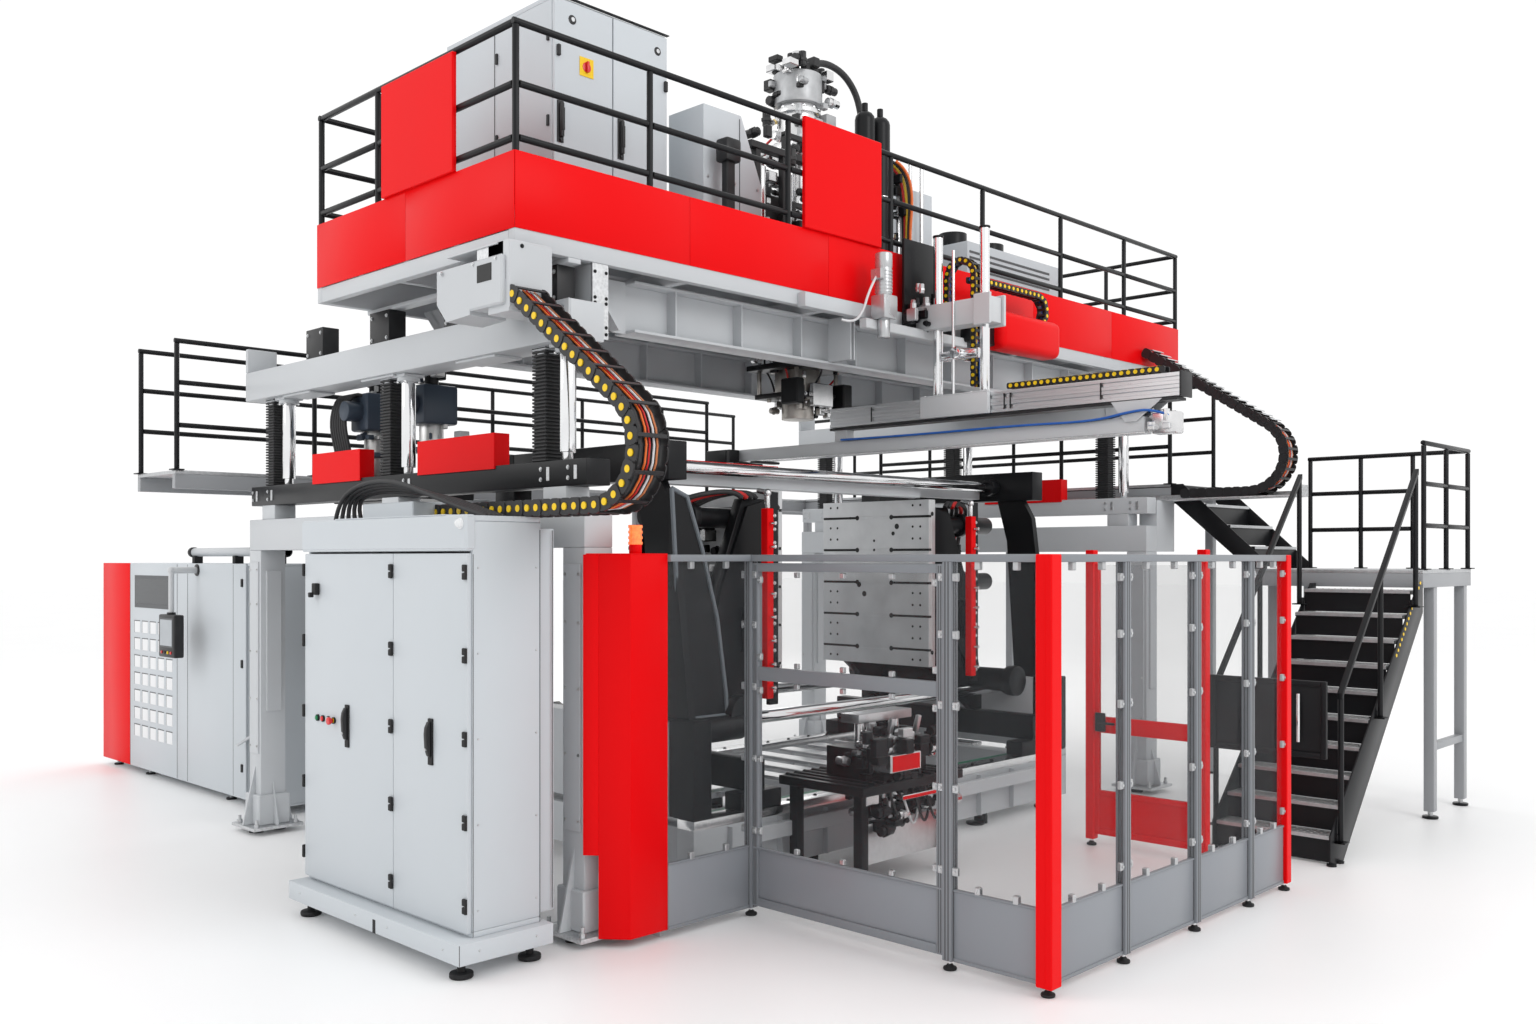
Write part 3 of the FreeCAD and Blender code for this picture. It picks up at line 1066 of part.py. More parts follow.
def energy_chains():
    lower = []
    upper = []
    for side, low, top_end in (("left", "cab_high", "left_top_end"),
                               ("right", "tray_top", "plat_front - fascia_t")):
        x = f"chain_{side}_x"
        across = span(x, "chain_w")
        lower.append(block(across, (f"{side}_bend_y", f"{side}_run_end"), after(low, "chain_rise")))
        lower.append(prism("x", *across, bend(side, -90, 0)))
        slope = value(f"{side}_slope")
        curve = bend(side, 0, 90 - slope)
        upper.append(prism("x", *across, curve))
        # straight climb from the end of the bend, cut upright where it meets the platform
        (outer_y, outer_z), (inner_y, inner_z) = curve[8], curve[9]
        end = value(top_end)
        climb = math.tan(math.radians(slope))
        upper.append(prism("x", *across, [
            (outer_y, outer_z), (end, outer_z + (end - outer_y) * climb),
            (end, inner_z + (end - inner_y) * climb),
            (inner_y, inner_z)]))
    node("chain_lower_runs", lower)
    node("chain_upper_runs", upper)
    # the right chain lies on a tray carried off the portal's header
    tray = span("chain_right_x", "chain_w + 40")
    node("chain_trays", [
        block(tray, ("tray_front", "tray_back"), ("tray_top - 15", "tray_top")),
        block(("portal_right + header_w / 2", tray[1]), after("portal_mid - portal_half - col_w / 2",
                                                              "tray_leg"),
              ("header_low", "tray_top - 15"))])


def finish():
    """Check the whole document and write one file for each sub-part."""
    DOC.recompute()
    for item in DOC.Objects:
        if "Invalid" in item.State or "Error" in item.State:
            raise RuntimeError(f"{item.Label} failed: {item.State}")
    os.makedirs("parts", exist_ok=True)
    for item in NODES:
        shape = item.Shape
        if shape.isNull() or not shape.isValid():
            raise RuntimeError(f"{item.Label} has no valid shape")
    for item in NODES:
        item.Shape.exportStep(f"parts/{item.Label}.step")
    print(f"{len(NODES)} sub-parts, {sum(len(item.Shape.Solids) for item in NODES)} solids")


portal_frame()
lift()
platform()
upper_cabinet()
extruder()
die_head()
hydraulics()
head_hose()
machine_base()
clamp()
takeout_line()
robot()
control_cabinet()
handling_unit()
lamps()
fence()
stairs()
energy_chains()
finish()
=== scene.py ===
import math
import random

import bmesh
import bpy
from mathutils import Matrix, Vector


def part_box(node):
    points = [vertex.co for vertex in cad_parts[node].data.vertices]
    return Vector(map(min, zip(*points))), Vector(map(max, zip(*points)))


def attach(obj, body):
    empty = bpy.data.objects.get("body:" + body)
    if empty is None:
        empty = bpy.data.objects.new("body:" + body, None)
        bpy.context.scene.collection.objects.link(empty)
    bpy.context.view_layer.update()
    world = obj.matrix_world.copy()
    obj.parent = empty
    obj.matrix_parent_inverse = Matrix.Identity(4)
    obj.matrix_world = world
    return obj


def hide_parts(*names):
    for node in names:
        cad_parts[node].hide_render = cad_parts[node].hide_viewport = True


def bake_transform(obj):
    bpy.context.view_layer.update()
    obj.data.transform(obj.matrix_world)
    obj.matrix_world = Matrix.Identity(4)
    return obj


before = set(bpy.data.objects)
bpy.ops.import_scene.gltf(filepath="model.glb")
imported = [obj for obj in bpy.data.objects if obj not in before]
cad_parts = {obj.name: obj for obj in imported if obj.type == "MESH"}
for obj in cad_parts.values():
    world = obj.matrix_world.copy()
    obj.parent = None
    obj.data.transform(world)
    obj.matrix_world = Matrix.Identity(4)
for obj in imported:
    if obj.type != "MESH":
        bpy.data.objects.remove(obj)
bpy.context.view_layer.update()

# ------------------------------------------------------------------ studio: camera, floor, light
# The camera stands at eye height off the near left corner of the line and looks along its diagonal.
# The floor is one pale sheet, and the light is a bright room with three soft boxes over the line.
view = bpy.data.cameras.new("camera")
view.lens = 30.0
view.sensor_width = 36.0
view.shift_y = 0.030
view.clip_end = 300.0
camera = bpy.data.objects.new("camera", view)
camera.location = (-7.93, -8.85, 2.15)
camera.rotation_euler = (math.radians(90), 0, math.atan2(0.6984, 0.7157) - math.radians(90))
bpy.context.scene.collection.objects.link(camera)
bpy.context.scene.camera = camera
bpy.context.scene.view_settings.view_transform = "Standard"

for name, place, aim, size, power in (
        ("key_softbox", (-1.0, -15.0, 9.5), (0, -1, 2), 6.0, 420),
        ("end_softbox", (-13.0, 4.0, 8.0), (-3, 0, 2.5), 5.0, 210),
        ("rear_softbox", (9.0, 10.0, 9.0), (0, 0, 2), 6.0, 240)):
    lamp = bpy.data.lights.new(name, "AREA")
    lamp.size = size
    lamp.energy = power
    box_light = bpy.data.objects.new(name, lamp)
    box_light.location = place
    box_light.rotation_euler = (Vector(aim) - Vector(place)).to_track_quat("-Z", "Y").to_euler()
    bpy.context.scene.collection.objects.link(box_light)

world = bpy.data.worlds.new("room")
world.use_nodes = True
world.node_tree.nodes["Background"].inputs["Color"].default_value = (1.0, 1.0, 1.0, 1.0)
world.node_tree.nodes["Background"].inputs["Strength"].default_value = 1.04
bpy.context.scene.world = world


# ------------------------------------------------------------------ floor
# A sealed pale workshop floor. Every finish below is made with the same two small classes, Wire and Finish.
class Wire:
    """An output of a finish's node; plus, minus and times on it add Math nodes."""

    def __init__(self, finish, socket):
        self.finish = finish
        self.socket = socket

    def join(self, operation, first, second):
        return self.finish.add("ShaderNodeMath", {"operation": operation}, {0: first, 1: second})

    def __add__(self, other):
        return self.join("ADD", self, other)

    def __sub__(self, other):
        return self.join("SUBTRACT", self, other)

    def __rsub__(self, other):
        return self.join("SUBTRACT", other, self)

    def __mul__(self, other):
        return self.join("MULTIPLY", self, other)

    __radd__ = __add__
    __rmul__ = __mul__


class Finish:
    """One material: a principled surface and the nodes that vary it."""

    def __init__(self, name, **sockets):
        self.material = bpy.data.materials.new(name)
        self.material.use_nodes = True
        self.tree = self.material.node_tree
        self.surface = self.tree.nodes["Principled BSDF"]
        self.place = self.add("ShaderNodeTexCoord", output="Object")
        self.set(**sockets)

    def plug(self, socket, what):
        if isinstance(what, Wire):
            self.tree.links.new(what.socket, socket)
        else:
            socket.default_value = what

    def set(self, **sockets):
        for word, what in sockets.items():
            self.plug(self.surface.inputs[word.replace("_", " ")], what)

    def add(self, kind, settings=None, inputs=None, output=0):
        node = self.tree.nodes.new(kind)
        for word, what in (settings or {}).items():
            setattr(node, word, what)
        for key, what in (inputs or {}).items():
            self.plug(node.inputs[key], what)
        return Wire(self, node.outputs[output])

    def noise(self, scale, detail=3.0, stretch=(1, 1, 1)):
        """Noise between about 0.3 and 0.7, drawn out along an axis whose stretch is small."""
        place = self.place
        if stretch != (1, 1, 1):
            place = self.add("ShaderNodeMapping", None, {"Vector": place, "Scale": stretch})
        return self.add("ShaderNodeTexNoise", None, {"Vector": place, "Scale": scale, "Detail": detail})

    def between(self, factor, first, second):
        """A colour between two, by a factor."""
        return self.add("ShaderNodeMix", {"data_type": "RGBA"},
                        {0: factor, 6: (*first, 1), 7: (*second, 1)}, output=2)

    def sharpen(self, wire, low, high):
        """Spread the part of a wire between low and high over 0 to 1."""
        return self.add("ShaderNodeMapRange", None, {0: wire, 1: low, 2: high, 3: 0.0, 4: 1.0})

    def bump(self, height, strength, depth=0.001):
        self.set(Normal=self.add("ShaderNodeBump", None, {"Strength": strength, "Distance": depth,
                                                          "Height": height}))


def shade(colour, share):
    return tuple(part * share for part in colour)


concrete = Finish("sealed_floor", Roughness=0.45)
patches = concrete.noise(0.6, 5.0)
concrete.set(Base_Color=concrete.between(patches, (0.93, 0.93, 0.935), (0.98, 0.98, 0.98)))
concrete.bump(concrete.noise(60.0), 0.05)
ground = bmesh.new()
bmesh.ops.create_grid(ground, x_segments=8, y_segments=8, size=90.0)
floor_mesh = bpy.data.meshes.new("floor")
ground.to_mesh(floor_mesh)
ground.free()
floor_mesh.materials.append(concrete.material)
floor = bpy.data.objects.new("floor", floor_mesh)
bpy.context.scene.collection.objects.link(floor)


# ------------------------------------------------------------------ portal frame
# Two welded portals of square hollow section carry the lift. They are blasted and sprayed pale grey;
# every edge is broken, the feet have tapered gussets, and base plates are bolted to the floor.
def paint(name, colour, roughness=0.38, spread=0.09, peel=0.10, metallic=0.0, specular=0.35):
    """Sprayed or powder coat: uneven colour and gloss at arm's length, fine orange peel close to."""
    finish = Finish(name, Metallic=metallic, Specular_IOR_Level=specular)
    broad = finish.noise(1.1, 5.0)
    runs = finish.noise(2.4, 3.0, (1, 1, 0.18))
    worn = broad * 0.6 + runs * 0.4
    finish.set(Base_Color=finish.between(worn, shade(colour, 1 - spread), shade(colour, 1 + spread * 0.6)),
               Roughness=(worn - 0.5) * 0.25 + roughness)
    finish.bump(finish.noise(260.0, 2.0), peel, 0.0006)
    return finish


frame_grey = paint("frame_grey_paint", (0.54, 0.56, 0.58), 0.36)


def split(node):
    """The separate solids of a CAD node: (low corner, high corner, faces) of each."""
    whole = bmesh.new()
    whole.from_mesh(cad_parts[node].data)
    bmesh.ops.remove_doubles(whole, verts=whole.verts, dist=1e-5)
    loose = dict.fromkeys(whole.faces)
    found = []
    while loose:
        group = [next(iter(loose))]
        del loose[group[0]]
        for face in group:
            for edge in face.edges:
                if len(edge.link_faces) == 2:
                    for other in edge.link_faces:
                        if other in loose:
                            del loose[other]
                            group.append(other)
        corners = [vert.co for face in group for vert in face.verts]
        low = Vector([min(co[axis] for co in corners) for axis in range(3)])
        high = Vector([max(co[axis] for co in corners) for axis in range(3)])
        if min(high - low) > 1e-4:
            found.append((low, high, group))
    found.sort(key=lambda item: tuple(round(part, 4) for part in (*item[0], *item[1])))
    return whole, found


def boxes(node):
    """The low and high corners of each solid of a CAD node."""
    whole, found = split(node)
    whole.free()
    return [(low, high) for low, high, _ in found]


def finished(name, bm, finishes, body, slot, *stands_for, angle=32):
    """Turn a bmesh into a piece that rides on a body and stands for CAD nodes."""
    mesh = bpy.data.meshes.new(name)
    bm.to_mesh(mesh)
    bm.free()
    for finish in finishes:
        mesh.materials.append(finish.material)
    mesh.shade_smooth()
    mesh.set_sharp_from_angle(angle=math.radians(angle))
    piece = bpy.data.objects.new(name, mesh)
    bpy.context.scene.collection.objects.link(piece)
    if body:
        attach(piece, body)
    if stands_for:
        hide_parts(*stands_for)
    return piece


def in_place(name, bm, finishes, body, node):
    """Turn a bmesh into the piece that stands for one CAD node."""
    return finished(name, bm, finishes, body, node, node)


def recast(node, edge=0.004, choose=None, bm=None):
    """A CAD node's solids with broken edges; choose gives each one's finish, or None to leave it out."""
    result = bm or bmesh.new()
    whole, found = split(node)
    for low, high, group in found:
        index = choose(low, high) if choose else 0
        if index is None:
            continue
        solid = bmesh.new()
        match = {}
        for face in group:
            for vert in face.verts:
                if vert not in match:
                    match[vert] = solid.verts.new(vert.co)
            solid.faces.new([match[vert] for vert in face.verts])
        bmesh.ops.dissolve_limit(solid, angle_limit=0.01, verts=solid.verts, edges=solid.edges)
        crisp = [line for line in solid.edges if len(line.link_faces) == 2 and line.calc_face_angle(0) > 0.6]
        width = min(edge, 0.2 * min(high - low))
        bmesh.ops.bevel(solid, geom=crisp, offset=width, segments=2, profile=0.5, affect="EDGES", material=-1,
                        clamp_overlap=True)
        for face in solid.faces:
            face.material_index = index
        part = bpy.data.meshes.new("part")
        solid.to_mesh(part)
        solid.free()
        result.from_mesh(part)
        bpy.data.meshes.remove(part)
    whole.free()
    return result


def rebuilt(name, node, finishes, body, edge=0.004, choose=None):
    """A CAD node kept in shape, with broken edges and its own finishes."""
    return in_place(name, recast(node, edge, choose), finishes, body, node)


def paint_faces(verts, index):
    for vert in verts:
        for face in vert.link_faces:
            face.material_index = index


def edges_of(verts):
    """Every edge at some vertices, in an order that is the same in each run."""
    return list(dict.fromkeys(line for vert in verts for line in vert.link_edges))


def slab(bm, low, high, edge=0.003, finish=0, segments=1, turn=None):
    """A block between two corners with broken edges; turn is a matrix about its middle."""
    low, high = Vector(low), Vector(high)
    matrix = Matrix.Translation((low + high) / 2)
    if turn is not None:
        matrix = matrix @ turn
    matrix = matrix @ Matrix.Diagonal((*(high - low), 1))
    made = bmesh.ops.create_cube(bm, size=1.0, matrix=matrix)["verts"]
    width = min(edge, 0.3 * min(high - low))
    if width > 0:
        lines = edges_of(made)
        made = bmesh.ops.bevel(bm, geom=lines, offset=width, segments=segments, profile=0.5, affect="EDGES",
                               material=-1)["verts"]
    paint_faces(made, finish)
    return made


def bar(bm, start, end, radius, finish=0, sides=14, tip=None, edge=0.0):
    """A round bar between two points; tip is its radius at the end."""
    start, end = Vector(start), Vector(end)
    way = end - start
    matrix = Matrix.Translation((start + end) / 2) @ way.to_track_quat("Z", "Y").to_matrix().to_4x4()
    made = bmesh.ops.create_cone(bm, cap_ends=True, segments=sides, radius1=radius,
                                 radius2=radius if tip is None else tip, depth=way.length,
                                 matrix=matrix)["verts"]
    if edge:
        rims = [line for line in edges_of(made) if line.calc_face_angle(0) > 1]
        more = bmesh.ops.bevel(bm, geom=rims, offset=edge, segments=2, profile=0.5, affect="EDGES",
                               material=-1)
        made = more["verts"]
    paint_faces(made, finish)
    return made


def ball(bm, centre, radius, finish=0, squash=1.0, sides=14):
    matrix = Matrix.Translation(Vector(centre)) @ Matrix.Diagonal((1, 1, squash, 1))
    made = bmesh.ops.create_uvsphere(bm, u_segments=sides, v_segments=8, radius=radius,
                                     matrix=matrix)["verts"]
    paint_faces(made, finish)


def bolt(bm, at, way, radius=0.010, finish=0, head=0.008):
    """A hexagon head on its washer, standing out from a surface along way."""
    at, way = Vector(at), Vector(way).normalized()
    bar(bm, at - way * 0.002, at + way * 0.003, radius * 1.5, finish, 12)
    bar(bm, at, at + way * head, radius, finish, 6)


def plate(bm, outline, thickness, finish=0):
    """A flat plate: an outline of points, pushed through by a vector."""
    face = bm.faces.new([bm.verts.new(point) for point in outline])
    made = bmesh.ops.extrude_face_region(bm, geom=[face])["geom"]
    verts = [item for item in made if isinstance(item, bmesh.types.BMVert)]
    bmesh.ops.translate(bm, vec=Vector(thickness), verts=verts)
    every = list(dict.fromkeys(vert for line in edges_of([*verts, *face.verts]) for vert in line.verts))
    faces = list(dict.fromkeys(item for vert in every for item in vert.link_faces))
    bmesh.ops.recalc_face_normals(bm, faces=faces)
    paint_faces(every, finish)


steel = Finish("ground_steel", Metallic=1.0)
marks = steel.noise(3.2, 6.0)
scratches = steel.noise(40.0, 4.0, (1, 1, 0.08))
smear = steel.sharpen(marks, 0.34, 0.68)
steel.set(Base_Color=steel.between(smear, (0.36, 0.36, 0.355), (0.78, 0.78, 0.77)),
          Roughness=0.30 + scratches * 0.18 + marks * 0.08)
steel.bump(scratches, 0.12, 0.0005)

portals = recast("portal_frame", 0.006)
# painted shade: one dark grey for slots, louvres, grooves, door gaps and seams, standing for the shade that
# falls in each gap
gap_shadow_grey = paint("shadow_grey", (0.10, 0.105, 0.11), 0.5)
foot_top = 0.066
for low, high in [item for item in boxes("portal_frame") if item[1].z - item[0].z > 1.5]:
    middle = (low + high) / 2
    # welded foot box round the column, cover strip up its face, and a cable duct on its far side
    slab(portals, (low.x - 0.025, low.y - 0.025, foot_top), (high.x + 0.025, high.y + 0.025, 0.30), 0.008)
    slab(portals, (low.x - 0.012, middle.y - 0.075, 0.62), (low.x + 0.002, middle.y + 0.075, 2.12), 0.003)
    slab(portals, (middle.x - 0.06, low.y - 0.020, 0.95), (middle.x + 0.06, low.y + 0.002, 2.05), 0.003)
    for z in (0.68, 1.05, 1.42, 1.79, 2.06):
        for side in (-0.06, 0.06):
            bolt(portals, (low.x - 0.012, middle.y + side, z), (-1, 0, 0), 0.006, 1)
    for start, end, wall in ((low.x - 0.10, low.x, low.x), (high.x, high.x + 0.10, high.x)):
        plate(portals, [(start, middle.y - 0.008, foot_top), (end, middle.y - 0.008, foot_top),
                        (wall, middle.y - 0.008, 0.52)], (0, 0.016, 0))
in_place("portals", portals, [frame_grey, steel], "line_frame", "portal_frame")

zinc = Finish("zinc_plate", Metallic=1.0)
spangle = zinc.add("ShaderNodeTexVoronoi", None, {"Vector": zinc.place, "Scale": 55.0}, output="Distance")
zinc.set(Base_Color=zinc.between(spangle, (0.50, 0.51, 0.52), (0.72, 0.73, 0.74)),
         Roughness=0.34 + spangle * 0.25)
zinc.bump(zinc.noise(120.0), 0.06)
black_paint = paint("black_paint", (0.010, 0.0105, 0.012), 0.34, 0.25, specular=0.22)
feet = recast("anchor_plates", 0.003, lambda low, high: 0 if high.z - low.z < 0.03 else 1)
for low, high in boxes("anchor_plates"):
    if high.z - low.z > 0.03:
        continue
    for x in (low.x + 0.045, high.x - 0.045):
        for y in (low.y + 0.045, high.y - 0.045):
            bar(feet, (x, y, high.z - 0.03), (x, y, high.z + 0.055), 0.012, 0, 10)
            bar(feet, (x, y, high.z), (x, y, high.z + 0.022), 0.021, 0, 6)
in_place("anchor_feet", feet, [zinc, black_paint], "line_frame", "anchor_plates")

# ------------------------------------------------------------------ lower lift beams
# A black folded beam lies on each portal header, with slots and cap screws where the jacks bolt on.
# Red guard plates stand on its outer edge.
red_paint = paint("signal_red_paint", (0.80, 0.002, 0.004), 0.34, 0.06, 0.06, specular=0.08)
lower = recast("lift_base_beams", 0.006, lambda low, high: 0 if low.x < 0 else 1)
for low, high in boxes("lift_base_beams"):
    for y in (low.y + 0.10, low.y + 0.36, -1.0 - 0.25, -1.0 + 0.25, high.y - 0.36, high.y - 0.10):
        slab(lower, (low.x - 0.004, y - 0.014, low.z + 0.035), (low.x + 0.002, y + 0.014, high.z - 0.035),
             0.001, 2)
        bolt(lower, (low.x, y + 0.07, high.z - 0.045), (-1, 0, 0), 0.009, 2)
        bolt(lower, (low.x, y + 0.07, low.z + 0.045), (-1, 0, 0), 0.009, 2)
    for start, stop in ((low.y + 0.90, low.y + 1.78), (high.y - 1.75, high.y - 1.05)):
        slab(lower, (low.x - 0.010, start, high.z - 0.02), (low.x - 0.004, stop, high.z + 0.20), 0.001, 3)
        slab(lower, (low.x - 0.010, start - 0.006, high.z - 0.02), (low.x + 0.10, start, high.z + 0.20),
             0.001, 3)
in_place("lower_lift_beams", lower, [black_paint, frame_grey, zinc, red_paint], "line_frame",
         "lift_base_beams")

# ------------------------------------------------------------------ lift columns
# Ground and hard-chromed tubes slide over fixed posts. Each has a flange at its head, a wiper collar
# at its foot, and beside it a screw jack inside a folded rubber bellows.
chrome = Finish("hard_chrome", Metallic=1.0)
film = chrome.noise(6.0, 3.0, (1, 1, 0.2))
chrome.set(Base_Color=chrome.between(film, (0.74, 0.75, 0.76), (0.90, 0.90, 0.91)),
           Roughness=0.06 + film * 0.10)
rebuilt("guide_post_bars", "guide_posts", [chrome], "line_frame", 0.002)
tubes = recast("lift_tubes", 0.003)
for low, high in boxes("lift_tubes"):
    x, y = (low.x + high.x) / 2, (low.y + high.y) / 2
    radius = (high.x - low.x) / 2
    bar(tubes, (x, y, high.z - 0.05), (x, y, high.z - 0.001), radius + 0.026, 1, 24, edge=0.004)
    slab(tubes, (x - radius - 0.03, y - radius - 0.03, high.z - 0.022),
         (x + radius + 0.03, y + radius + 0.03, high.z - 0.001), 0.004, 1)
    for turn in range(4):
        angle = math.radians(45 + 90 * turn)
        bolt(tubes, (x + (radius + 0.022) * math.cos(angle), y + (radius + 0.022) * math.sin(angle),
                     high.z - 0.05),
             (0, 0, -1), 0.008, 0)
in_place("lift_tubes_chromed", tubes, [chrome, frame_grey], "lift", "lift_tubes")

rubber = Finish("black_rubber")
dusty = rubber.noise(14.0, 4.0)
rubber.set(Base_Color=rubber.between(dusty, (0.010, 0.010, 0.011), (0.035, 0.035, 0.037)),
           Roughness=0.45 + dusty * 0.25)
rubber.bump(rubber.noise(500.0, 2.0), 0.10, 0.0004)
folds = bmesh.new()
FOLD = 0.021
for low, high in boxes("lift_bellows"):
    count = int((high.z - low.z) / FOLD)
    slab(folds, (low.x + 0.016, low.y + 0.016, low.z), (high.x - 0.016, high.y - 0.016, high.z), 0.004)
    for step in range(count):
        z = low.z + (step + 0.5) * (high.z - low.z) / count
        slab(folds, (low.x + 0.001, low.y + 0.001, z - 0.0068), (high.x - 0.001, high.y - 0.001, z + 0.0068),
             0.0055)
bellows = in_place("bellows_folds", folds, [rubber], None, "lift_bellows")
low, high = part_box("lift_bellows")
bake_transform(bellows)

# ------------------------------------------------------------------ upper lift beams and traverse drive
# Two welded box beams, sprayed like the portals, with end plates, and the guide shoes and gear motors
# that roll the platform along them.
motor_grey = paint("motor_grey_paint", (0.16, 0.18, 0.20), 0.40, 0.12)
beams = recast("lift_beams", 0.008)
for low, high in boxes("lift_beams"):
    if high.y - low.y < 1:
        continue
    slab(beams, (low.x - 0.012, low.y, low.z), (low.x + 0.002, low.y + 0.30, high.z), 0.004)
    for y in (low.y + 0.06, low.y + 0.24):
        for z in (low.z + 0.05, high.z - 0.05):
            bolt(beams, (low.x - 0.012, y, z), (-1, 0, 0), 0.010, 1)
    for place in range(3):
        y = low.y + 1.0 + 1.2 * place
        slab(beams, (low.x + 0.02, y - 0.22, low.z - 0.016), (high.x - 0.02, y + 0.22, low.z + 0.001), 0.004)
in_place("upper_lift_beams", beams, [frame_grey, zinc], "lift", "lift_beams")

black_plastic = Finish("black_plastic", Specular_IOR_Level=0.4)
grain = black_plastic.noise(160.0, 2.0)
scuff = black_plastic.noise(9.0, 4.0)
black_plastic.set(Base_Color=black_plastic.between(scuff, (0.009, 0.009, 0.010), (0.026, 0.026, 0.028)),
                  Roughness=0.30 + scuff * 0.25)
black_plastic.bump(grain, 0.08, 0.0004)


def cable(name, points, radius, finish, body, sides=3):
    """A smooth fixed cable or hose through control points."""
    line = bpy.data.curves.new(name, "CURVE")
    line.dimensions = "3D"
    spline = line.splines.new("NURBS")
    spline.points.add(len(points) - 1)
    for point, place in zip(spline.points, points):
        point.co = (*place, 1)
    spline.order_u = 3
    spline.use_endpoint_u = True
    line.resolution_u = 5
    line.bevel_depth = radius
    line.bevel_resolution = sides
    line.use_fill_caps = True
    line.materials.append(finish.material)
    piece = bpy.data.objects.new(name, line)
    bpy.context.scene.collection.objects.link(piece)
    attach(piece, body)
    return piece


drives = recast("traverse_guides", 0.005, lambda low, high: 1 if high.z - low.z > 0.2 else 0)
for low, high in boxes("traverse_guides"):
    if high.x - low.x > 0.25:
        for step in range(9):
            x = low.x + 0.03 + step * (high.x - low.x - 0.06) / 8
            bar(drives, (x - 0.004, (low.y + high.y) / 2, (low.z + high.z) / 2),
                (x + 0.004, (low.y + high.y) / 2, (low.z + high.z) / 2), 0.078, 0, 20)
        slab(drives, (low.x + 0.08, low.y + 0.03, high.z - 0.01),
             (low.x + 0.19, high.y - 0.03, high.z + 0.05), 0.006, 1)
    else:
        for y in (low.y + 0.03, high.y - 0.03):
            bolt(drives, (low.x, y, high.z - 0.04), (-1, 0, 0), 0.009, 2)
            bolt(drives, (low.x, y, low.z + 0.04), (-1, 0, 0), 0.009, 2)
in_place("traverse_drives", drives, [motor_grey, black_plastic, zinc], "lift", "traverse_guides")

# ------------------------------------------------------------------ platform frame
# The platform is welded from folded channels with two deep girders under it, sprayed pale grey.
# A silver hanger plate and tapered gussets hold each girder's end, and stiffeners stand along the webs.
girders = recast("platform_frame", 0.005)
low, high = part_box("platform_frame")
flange, web_foot = 3.87, 3.55
webs = [item for item in boxes("platform_frame")
        if item[1].x - item[0].x > 4 and item[1].y - item[0].y < 0.03]
for near, far in webs:
    y = (near.y + far.y) / 2
    for place in range(9):
        x = near.x + 0.35 + place * (far.x - near.x - 0.7) / 8
        slab(girders, (x - 0.006, y - 0.092, near.z), (x + 0.006, y + 0.092, far.z), 0.001)
    plate(girders, [(near.x - 0.36, y - 0.010, flange), (near.x, y - 0.010, flange),
                    (near.x, y - 0.010, web_foot), (near.x - 0.12, y - 0.010, web_foot)], (0, 0.020, 0))
    plate(girders, [(near.x - 0.36, y - 0.09, flange), (near.x - 0.34, y - 0.09, flange),
                    (near.x - 0.10, y - 0.09, web_foot), (near.x - 0.12, y - 0.09, web_foot)], (0, 0.18, 0))
# hanger plate with its bolts in front of the lift beam
slab(girders, (-3.318, -2.925, 3.43), (-3.200, -2.912, flange), 0.002, 1)
slab(girders, (-3.310, -2.912, 3.45), (-3.210, -2.66, flange), 0.004)
for x in (-3.300, -3.218):
    for z in (3.46, 3.50, 3.64, 3.67, 3.82):
        bolt(girders, (x, -2.925, z), (0, -1, 0), 0.007, 2)
for x in (-1.02, -0.98):
    slab(girders, (x - 0.006, -2.93, 3.56), (x + 0.006, -2.72, flange), 0.001)
# open window in the box that the near chain ends in, drawn as a thin black sheet: painted shade in the
# opening
slab(girders, (-3.984, -2.985, 3.70), (-3.978, -2.900, 3.80), 0.001, 2)
slab(girders, (-3.980, -3.056, 3.50), (-3.700, -3.046, 3.86), 0.002)
bolt(girders, (-3.90, -3.056, 3.84), (0, -1, 0), 0.008, 2)
in_place("platform_girders", girders, [frame_grey, zinc, black_paint], "platform", "platform_frame")

deck = Finish("tread_plate", Metallic=1.0)
lines = deck.add("ShaderNodeTexWave", {"bands_direction": "DIAGONAL"},
                 {"Vector": deck.place, "Scale": 22.0, "Distortion": 0.0})
mud = deck.noise(3.0, 5.0)
deck.set(Base_Color=deck.between(mud, (0.33, 0.34, 0.35), (0.62, 0.63, 0.64)), Roughness=0.35 + mud * 0.25)
deck.bump(deck.sharpen(lines, 0.75, 0.9), 0.5, 0.002)
rebuilt("deck_plates", "platform_deck", [deck], "platform", 0.002)

# ------------------------------------------------------------------ red fascia and boards
# Folded red sheets close the platform's edge all round; two plain red boards hang on the guard rails.
fascia = recast("platform_fascia", 0.002)
for low, high in boxes("platform_fascia"):
    if high.z - low.z > 0.6:
        # folded rim round each board
        if high.x - low.x < 0.05:
            slab(fascia, (low.x - 0.022, low.y, low.z), (low.x, high.y, high.z), 0.004)
        else:
            slab(fascia, (low.x, low.y - 0.022, low.z), (high.x, low.y, high.z), 0.004)
in_place("red_fascia", fascia, [red_paint], "platform", "platform_fascia")

# ------------------------------------------------------------------ platform guard rail
# Round black tube, welded posts with small base plates, and a knee rail and mid rail between them.
def rail_tube(bm, low, high, foot, foot_high):
    """A round tube in place of a square bar of a CAD railing, on a foot if it is a post."""
    size = high - low
    axis = max(range(3), key=lambda item: size[item])
    start = (low + high) / 2
    end = start.copy()
    start[axis], end[axis] = low[axis], high[axis]
    bar(bm, start, end, rail_radius, 0, 12, edge=0.003)
    if axis == 2:
        slab(bm, (start.x - foot, start.y - foot, low.z), (start.x + foot, start.y + foot, low.z + foot_high),
             0.002)
    return axis


